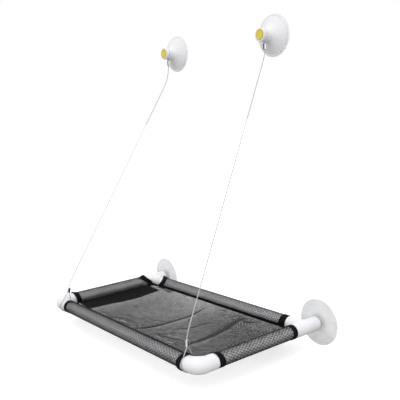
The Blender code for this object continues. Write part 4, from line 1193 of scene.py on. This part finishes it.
def seam_tapes():
    """Black tapes sewn along the two long sleeves."""
    rows, columns, unsewn = 180, 8, 6
    level, thickness, crown_height = 0.0001, 0.0005, 0.0003
    made = {}
    for rail, angle, half in TAPE_PLACES:
        start = SLEEVES[rail][0] + PLAIN_BAND / 2
        end = SLEEVES[rail][1] - PLAIN_BAND / 2
        share, side = np.meshgrid(np.linspace(0, 1, rows + 1), np.linspace(-1, 1, columns + 1),
                                  indexing="ij")
        spot = start + (end - start) * share
        wander = 0.00025 * np.sin(spot * 61) + 0.00015 * np.sin(spot * 143 + 1)
        turn = angle + (side * half + wander) / SLEEVE_OUTER
        base = SLEEVE_OUTER + level + lapped(spot, rail)
        top, outward = on_rail(rail, spot, turn, base + thickness + crown_height * (1 - side ** 4))
        under, _ = on_rail(rail, spot, turn, base)
        place = np.stack([spot, side * half], axis=-1)
        mesh = shell(f"{rail}_sewn_tape", top, under, place, False)
        tape = keep_piece(mesh, "black_binding", HAMMOCK, f"{rail}_seam_tape")
        sewn = slice(unsewn, rows - unsewn)
        lines = [((top + STITCH_LIFT * outward)[sewn, column], outward[sewn, column], False)
                 for column in (1, columns - 1)]
        made[rail] = [tape, stitches(f"{rail}_tape_stitches", lines)]
    return made


DRESSED = dress_rails()
TAPES = seam_tapes()


# bed, flap and corner edging

# How far from a rail's axis the bed starts, and how far from a fitting's axis its corner edging runs.
BED_REACH = 0.0145
EDGING_REACH = 0.0184
PANEL_SIDE_INSET = math.sqrt(BED_REACH ** 2 - PANEL_DROP ** 2)
PIPING_RADIUS = 0.0014
PIPING_INSET = math.sqrt(EDGING_REACH ** 2 - PANEL_DROP ** 2)
CORNER_INSET = PIPING_INSET + PIPING_RADIUS + FIT_GAP
CROTCH_RADIUS = 0.0060
PANEL_HALF_X = SIDE_RAIL_X - PANEL_SIDE_INSET
PANEL_FRONT = FRONT_RAIL_Y + PANEL_SIDE_INSET
PANEL_BACK = BACK_RAIL_Y - PANEL_SIDE_INSET
PANEL_LEG = ELBOW_LEG + FIT_GAP + SLEEVE_RAMP
PANEL_REAR_LEG = TEE_FRONT_LEG + FIT_GAP + SLEEVE_RAMP
BED_THICKNESS = 0.00020
BED_YARN_SPACING = 0.0021
BED_YARN_HEIGHT = 0.00014
BED_YARN_DROP = 0.0003
UPWARD = (0.0, 0.0, 1.0)

# Folds of the bed: places along each one in tenths of a millimetre, its height and width in metres, and
# how much painted shade darkens its far slope where it starts and where it ends. A painted highlight has a
# share below zero.
FOLD_UNIT = 0.0001
FOLDS = (
    (((1194, -606), (1162, -680), (1111, -760), (1092, -848), (1118, -979), (1150, -1164), (1150, -1323),
      (1166, -1497), (1190, -1730), (1220, -1994), (1209, -2196), (1080, -2330)),
     0.0032, 0.0062, 0.75, 0.85),
    (((-44, -604), (-58, -847), (-70, -1132), (-118, -1341), (-192, -1626), (-198, -1830), (-192, -2040),
      (-205, -2229), (-214, -2415)), 0.0022, 0.0055, 0.10, 0.80),
    (((628, -1100), (559, -1160), (492, -1279), (451, -1452), (415, -1559), (344, -1670), (213, -1788)),
     0.0010, 0.0034, 0.25, 0.50),
    (((336, -2021), (447, -1910), (601, -1832)), 0.0008, 0.0028, 0.30, 0.35),
    (((305, -2327), (345, -2154), (346, -1931)), 0.0009, 0.0030, 0.45, 0.30),
    (((251, -2487), (313, -2364), (400, -2290), (604, -2242), (786, -2188), (942, -2118)),
     0.0012, 0.0030, 0.45, 0.60),
    (((950, -2380), (1043, -2345), (1143, -2288), (1209, -2196)), 0.0010, 0.0028, 0.35, 0.60),
    (((1616, -600), (1527, -634), (1407, -734), (1291, -755), (1173, -760)), 0.0010, 0.0036, 0.35, 0.55),
    (((269, -680), (400, -640), (546, -620)), 0.0008, 0.0036, 0.20, 0.30),
    (((789, -740), (875, -680), (980, -610)), 0.0008, 0.0030, 0.25, 0.25),
    (((197, -2374), (429, -2365), (780, -2390), (995, -2400)), 0.0010, 0.0026, -0.20, -0.25),
    (((393, -2113), (566, -2061), (769, -2009)), 0.0008, 0.0026, -0.15, -0.15),
    (((-1716, -2500), (-1646, -2462), (-1573, -2401)), 0.0010, 0.0022, 0.60, 0.40),
    (((-1616, -2530), (-1524, -2493), (-1414, -2454)), 0.0008, 0.0020, -0.25, -0.20),
    (((-1286, -2413), (-1151, -2352), (-1000, -2280), (-777, -2235)), 0.0011, 0.0024, 0.55, 0.45),
    (((-1204, -2473), (-1080, -2445), (-963, -2388), (-767, -2355)), 0.0008, 0.0020, -0.25, -0.15),
    (((-1661, -1678), (-1601, -1633), (-1552, -1572)), 0.0008, 0.0040, 0.30, 0.25),
    (((-1308, -2067), (-1116, -2089), (-1000, -2061), (-899, -1993)), 0.0008, 0.0032, 0.15, 0.30),
    (((-913, -1836), (-732, -1832), (-575, -1809), (-314, -1663)), 0.0007, 0.0030, 0.15, 0.20),
    (((-953, -2544), (-772, -2502), (-551, -2487)), 0.0008, 0.0024, 0.35, 0.25),
)
# The net is more closed towards the back right, as painted shade: how much, and where that starts and is
# full.
BACK_RIGHT_SHADE = 0.25
BACK_RIGHT_SHADE_X = (-0.05, 0.10)
BACK_RIGHT_SHADE_Y = (-0.200, -0.085)
# How much of a fold's length it takes to rise at each end, and the least and most that the net is closed.
FOLD_TAPER = 0.18
CLOSED_LEAST, CLOSED_MOST = -0.2, 0.9
# A fold's dark line of painted shade and the weaker painted shade beside it, as shares of its width, and
# that shade's strength.
DARK_LINE, SHADE_WIDTH, SHADE_STRENGTH = 0.45, 1.8, 0.30
RIPPLE = 0.00025


def eased(value, low, high):
    share = np.clip((value - low) / (high - low), 0, 1)
    return share * share * (3 - 2 * share)


def fold_distance(line, x, y):
    """Signed distance to a fold, positive on its far side, and how far along it a place is."""
    best = np.full(x.shape, 1e9)
    signed = np.zeros(x.shape)
    gone_there = np.zeros(x.shape)
    ends = [Vector(spot) * FOLD_UNIT for spot in line]
    gone = 0.0
    for a, b in zip(ends, ends[1:]):
        length = (b - a).length
        way = (b - a) / length
        px, py = x - a.x, y - a.y
        t = np.clip(px * way.x + py * way.y, 0, length)
        dx, dy = px - way.x * t, py - way.y * t
        away = np.hypot(dx, dy)
        nearer = away < best
        best = np.where(nearer, away, best)
        signed = np.where(nearer, away * np.sign(way.x * dy - way.y * dx), signed)
        gone_there = np.where(nearer, gone + t, gone_there)
        gone += length
    return signed, gone_there / gone


def bed_surface(x, y):
    """Height of the sagging bed with its folds, and how closed its net is there: painted shade along the
    folds and towards the back right, and painted highlight where a share is below zero.
    """
    across = x / PANEL_HALF_X
    along = (2 * y - PANEL_FRONT - PANEL_BACK) / (PANEL_BACK - PANEL_FRONT)
    calm = np.maximum(0, 1 - np.abs(across) ** 3) * np.maximum(0, 1 - along ** 2)
    height = -PANEL_DROP - PANEL_SAG * calm
    # Painted shade towards the back right.
    closed = BACK_RIGHT_SHADE * eased(x, *BACK_RIGHT_SHADE_X) * eased(y, *BACK_RIGHT_SHADE_Y)
    for line, rise, width, dark_start, dark_end in FOLDS:
        signed, share = fold_distance(line, x, y)
        taper = np.clip(np.minimum(share, 1 - share) / FOLD_TAPER, 0, 1) ** 0.7
        dark = (dark_start + (dark_end - dark_start) * share) * taper
        height = height + rise * taper * np.minimum(1, calm * 6) * np.exp(-(signed / width) ** 2)
        # Painted shade along the fold and beside it; a share below zero opens the net as a painted
        # highlight.
        closed = closed + dark * np.exp(-(signed / (DARK_LINE * width)) ** 2)
        closed = closed + SHADE_STRENGTH * dark * np.exp(-((signed + width) / (SHADE_WIDTH * width)) ** 2)
    ripple = RIPPLE * np.sin(x * 95 + 3 * np.sin(y * 31)) * np.sin(y * 120 + x * 22)
    return height + ripple * np.minimum(1, calm * 3), np.clip(closed, CLOSED_LEAST, CLOSED_MOST)


def corner_limit(from_side, bend, leg):
    """How far from a rail's axis the corner cut of the bed lies."""
    radius = bend - CORNER_INSET
    curve = bend - np.sqrt(np.maximum(0, radius ** 2 - (bend - from_side) ** 2))
    reach = np.where(from_side >= CORNER_INSET, curve, leg)
    reach = np.where(from_side >= bend, CORNER_INSET, reach)
    return np.where(from_side > PANEL_LEG, PANEL_SIDE_INSET, reach)


def bed_yarns(low, high, x_line):
    """Yarns that stand under the bed's net, from front to back."""
    end_gap = 0.001
    lines = []
    for x in np.arange(-PANEL_HALF_X + end_gap, PANEL_HALF_X - end_gap / 2, BED_YARN_SPACING):
        y = np.linspace(np.interp(x, x_line, low) + end_gap, np.interp(x, x_line, high) - end_gap, 49)
        x_places = np.full(y.shape, x)
        height, _ = bed_surface(x_places, y)
        places = np.stack([x_places, y, height - BED_YARN_DROP - BED_YARN_HEIGHT / 2], axis=-1)
        lines.append((places, np.broadcast_to(UPWARD, places.shape), False))
    return standing_yarns("bed_yarns", lines, BED_YARN_HEIGHT)


def bed_sheet():
    """The bed's net with its corners cut out, and the yarns under it."""
    columns, rows = 248, 118
    x_line = np.linspace(-PANEL_HALF_X, PANEL_HALF_X, columns + 1)
    from_side = SIDE_RAIL_X - np.abs(x_line)
    low = FRONT_RAIL_Y + corner_limit(from_side, ELBOW_BEND, PANEL_LEG)
    high = BACK_RAIL_Y - corner_limit(from_side, CORNER_INSET + CROTCH_RADIUS, PANEL_REAR_LEG)
    y = low[:, None] + (high - low)[:, None] * np.linspace(0, 1, rows + 1)[None, :]
    x = np.repeat(x_line[:, None], rows + 1, axis=1)
    height, closed = bed_surface(x, y)
    top = np.stack([x, y, height], axis=-1)
    under = top - np.array([0, 0, BED_THICKNESS])
    mesh = shell("net_bed", top, under, np.stack([x, y], axis=-1), False, 80.0, closed)
    bed = keep_piece(mesh, "bed_mesh", HAMMOCK, "bed_panel")
    bed_yarns(low, high, x_line)
    return bed


# The flap's inner edge at even places along it, as shares of the bed's half width, and its two ends as
# shares of the bed's half depth.
FLAP_INNER = (0.804, 0.815, 0.824, 0.807, 0.792, 0.790, 0.778)
FLAP_ENDS = (-0.74, 0.87)
FLAP_OUTER_GAP, FLAP_END_GAP = 0.0012, 0.0030
FLAP_LENGTH = 0.19
FLAP_LEVEL, FLAP_UNDER = 0.0009, 0.0002
HEM_HEIGHT, HEM_MIDDLE, HEM_WIDTH = 0.0004, 0.004, 0.0035
HEM_STITCH_INSET, HEM_STITCH_LEVEL = 0.0052, 0.0014


def side_flap(bed):
    """Black flap sewn along the left side, lying on the bed, with a folded hem."""
    rows, columns = 100, 26
    middle, half = (PANEL_FRONT + PANEL_BACK) / 2, (PANEL_BACK - PANEL_FRONT) / 2
    share = np.linspace(0, 1, rows + 1)
    y_line = middle + half * (FLAP_ENDS[0] + (FLAP_ENDS[1] - FLAP_ENDS[0]) * share)
    inner_line = np.interp(share, np.linspace(0, 1, len(FLAP_INNER)), FLAP_INNER) * PANEL_HALF_X
    outer_line = PANEL_HALF_X - FLAP_OUTER_GAP - FLAP_END_GAP * np.clip((share - 5 / 6) * 6, 0, 1)
    across = np.linspace(0, 1, columns + 1)
    x = -(outer_line[:, None] + (inner_line - outer_line)[:, None] * across[None, :])
    y = np.repeat(y_line[:, None], columns + 1, axis=1)
    height, _ = bed_surface(x, y)
    edge = np.minimum(np.minimum(across, 1 - across)[None, :] * (outer_line - inner_line)[:, None],
                      (np.minimum(share, 1 - share) * FLAP_LENGTH)[:, None])
    hem = HEM_HEIGHT * np.exp(-((edge - HEM_MIDDLE) / HEM_WIDTH) ** 4)
    rise = 0.0004 * np.sin(y * 70) * np.sin(math.pi * across)[None, :]
    top = np.stack([x, y, height + FLAP_LEVEL + hem + rise], axis=-1)
    under = np.stack([x, y, height + FLAP_UNDER], axis=-1)
    mesh = shell("side_flap", top, under, np.stack([x, y], axis=-1), False)
    flap = keep_piece(mesh, "black_cloth", HAMMOCK, "left_side_flap")
    sewn = np.linspace(0.03, 0.97, 90)
    lines = []
    for edge_line, inset in ((inner_line, HEM_STITCH_INSET), (outer_line, -HEM_STITCH_INSET)):
        spot_x, spot_y = -(np.interp(sewn, share, edge_line) + inset), np.interp(sewn, share, y_line)
        level, _ = bed_surface(spot_x, spot_y)
        places = np.stack([spot_x, spot_y, level + HEM_STITCH_LEVEL], axis=-1)
        lines.append((places, np.broadcast_to(UPWARD, places.shape), False))
    stitches("flap_stitches", lines)


REAR_EDGING_CLOSER, REAR_EDGING_LEG, REAR_EDGING_RAISED = 0.0022, 0.0260, 0.0024
EDGING_STEP = 0.0012
EDGING_OFFSET, EDGING_HALF_WIDTH, EDGING_DROP = 0.0014, 0.0032, 0.0003
EDGING_HALF_HEIGHTS = {"front": 0.0019, "rear": 0.0032}


def edging_route(sign, front):
    """Places along the edge of a cut-out corner."""
    inset = PIPING_INSET if front else PIPING_INSET - REAR_EDGING_CLOSER
    bend = ELBOW_BEND if front else inset + CROTCH_RADIUS
    radius = bend - inset
    axis_y = FRONT_RAIL_Y if front else BACK_RAIL_Y
    inward = 1 if front else -1
    leg_y = ELBOW_LEG if front else REAR_EDGING_LEG
    turns = [math.pi / 2 * step / 12 for step in range(13)]
    spots = [(PANEL_LEG - 0.0009, inset)]
    spots += [(bend - radius * math.sin(turn), bend - radius * math.cos(turn)) for turn in turns]
    if leg_y > bend:
        spots.append((inset, leg_y))
    height = -PANEL_DROP if front else -PANEL_DROP + REAR_EDGING_RAISED
    return [Vector((sign * (SIDE_RAIL_X - across), axis_y + inward * along, height))
            for across, along in spots]


def corner_edging():
    """Black binding folded over the bed's edge at its four cut-out corners."""
    sides = 20
    middle = np.array((0, (FRONT_RAIL_Y + BACK_RAIL_Y) / 2, 0))
    for side, sign in SIDES.items():
        for end, tall in EDGING_HALF_HEIGHTS.items():
            path = evenly(edging_route(sign, end == "front"), EDGING_STEP)
            corner = np.array((sign * SIDE_RAIL_X, FRONT_RAIL_Y if end == "front" else BACK_RAIL_Y, 0))
            spots = []
            for spot, ahead in zip(path, headings(path)):
                inward = np.cross(ahead, UPWARD)
                inward *= 1 if np.dot(inward, middle - corner) >= 0 else -1
                for step in range(sides):
                    turn = FULL_TURN * step / sides
                    spots.append(spot + inward * (EDGING_OFFSET + EDGING_HALF_WIDTH * math.cos(turn))
                                 + np.array((0, 0, tall * math.sin(turn) - EDGING_DROP)))
            faces = tube_faces(len(path), sides)
            uv = [(EDGING_STEP * (at // sides), EDGING_STEP / 2 * (at % sides))
                  for face in faces for at in face]
            keep_piece(mesh_of(f"{side}_{end}_edging", spots, faces, uv, 70.0), "black_binding", HAMMOCK,
                       f"{side}_{end}_piping")


side_flap(bed_sheet())
corner_edging()


# room

FLOOR_LEVEL, FLOOR_REACH = -0.048, 60.0
FLOOR_GLOW = 0.59
WORLD_LIGHT, WORLD_SEEN = 0.93, 1.0
WHITE = (1, 1, 1, 1)


def floor():
    """Pale floor, seen by the camera as paler than the light that it gives back to the object."""
    mesh = bpy.data.meshes.new("studio_floor")
    mesh.from_pydata([(x * FLOOR_REACH, y * FLOOR_REACH, FLOOR_LEVEL)
                      for x, y in ((-1, -1), (1, -1), (1, 1), (-1, 1))], [], [(0, 1, 2, 3)])
    material, tree, shader = new_finish("pale_floor", 0.9, 0.0, 0.1)
    seen = put(tree, "ShaderNodeLightPath").outputs["Is Camera Ray"]
    feed(tree, shader, Base_Color=blend_colour(tree, seen, grey(0.42), grey(0.70)),
         Emission_Strength=calc(tree, "MULTIPLY", seen, FLOOR_GLOW))
    shader.inputs["Emission Color"].default_value = WHITE
    mesh.materials.append(material)
    placed("studio_floor", mesh)


def sun(name, towards, width, power):
    data = bpy.data.lights.new(name, "SUN")
    data.angle = math.radians(width)
    data.energy = power
    placed(name, data).rotation_euler = Vector(towards).to_track_quat("-Z", "Y").to_euler()


def light_room():
    """An even white room, a little dimmer as a light than as it is seen, and two wide suns."""
    world = bpy.data.worlds.new("plain_room")
    world.use_nodes = True
    bpy.context.scene.world = world
    tree = world.node_tree
    shader = tree.nodes["Background"]
    path = put(tree, "ShaderNodeLightPath").outputs
    seen = calc(tree, "MAXIMUM", path["Is Camera Ray"],
                calc(tree, "MAXIMUM", path["Is Glossy Ray"], path["Is Transmission Ray"]))
    feed(tree, shader, Strength=spread(tree, seen, 0.0, 1.0, WORLD_LIGHT, WORLD_SEEN))
    shader.inputs["Color"].default_value = WHITE
    sun("overhead_sun", (-0.25, -0.05, -1.0), 70, 0.25)
    sun("front_sun", (-0.50, 0.75, -0.50), 90, 0.70)
    bpy.context.scene.view_settings.view_transform = "Standard"


floor()
light_room()

bpy.context.view_layer.update()
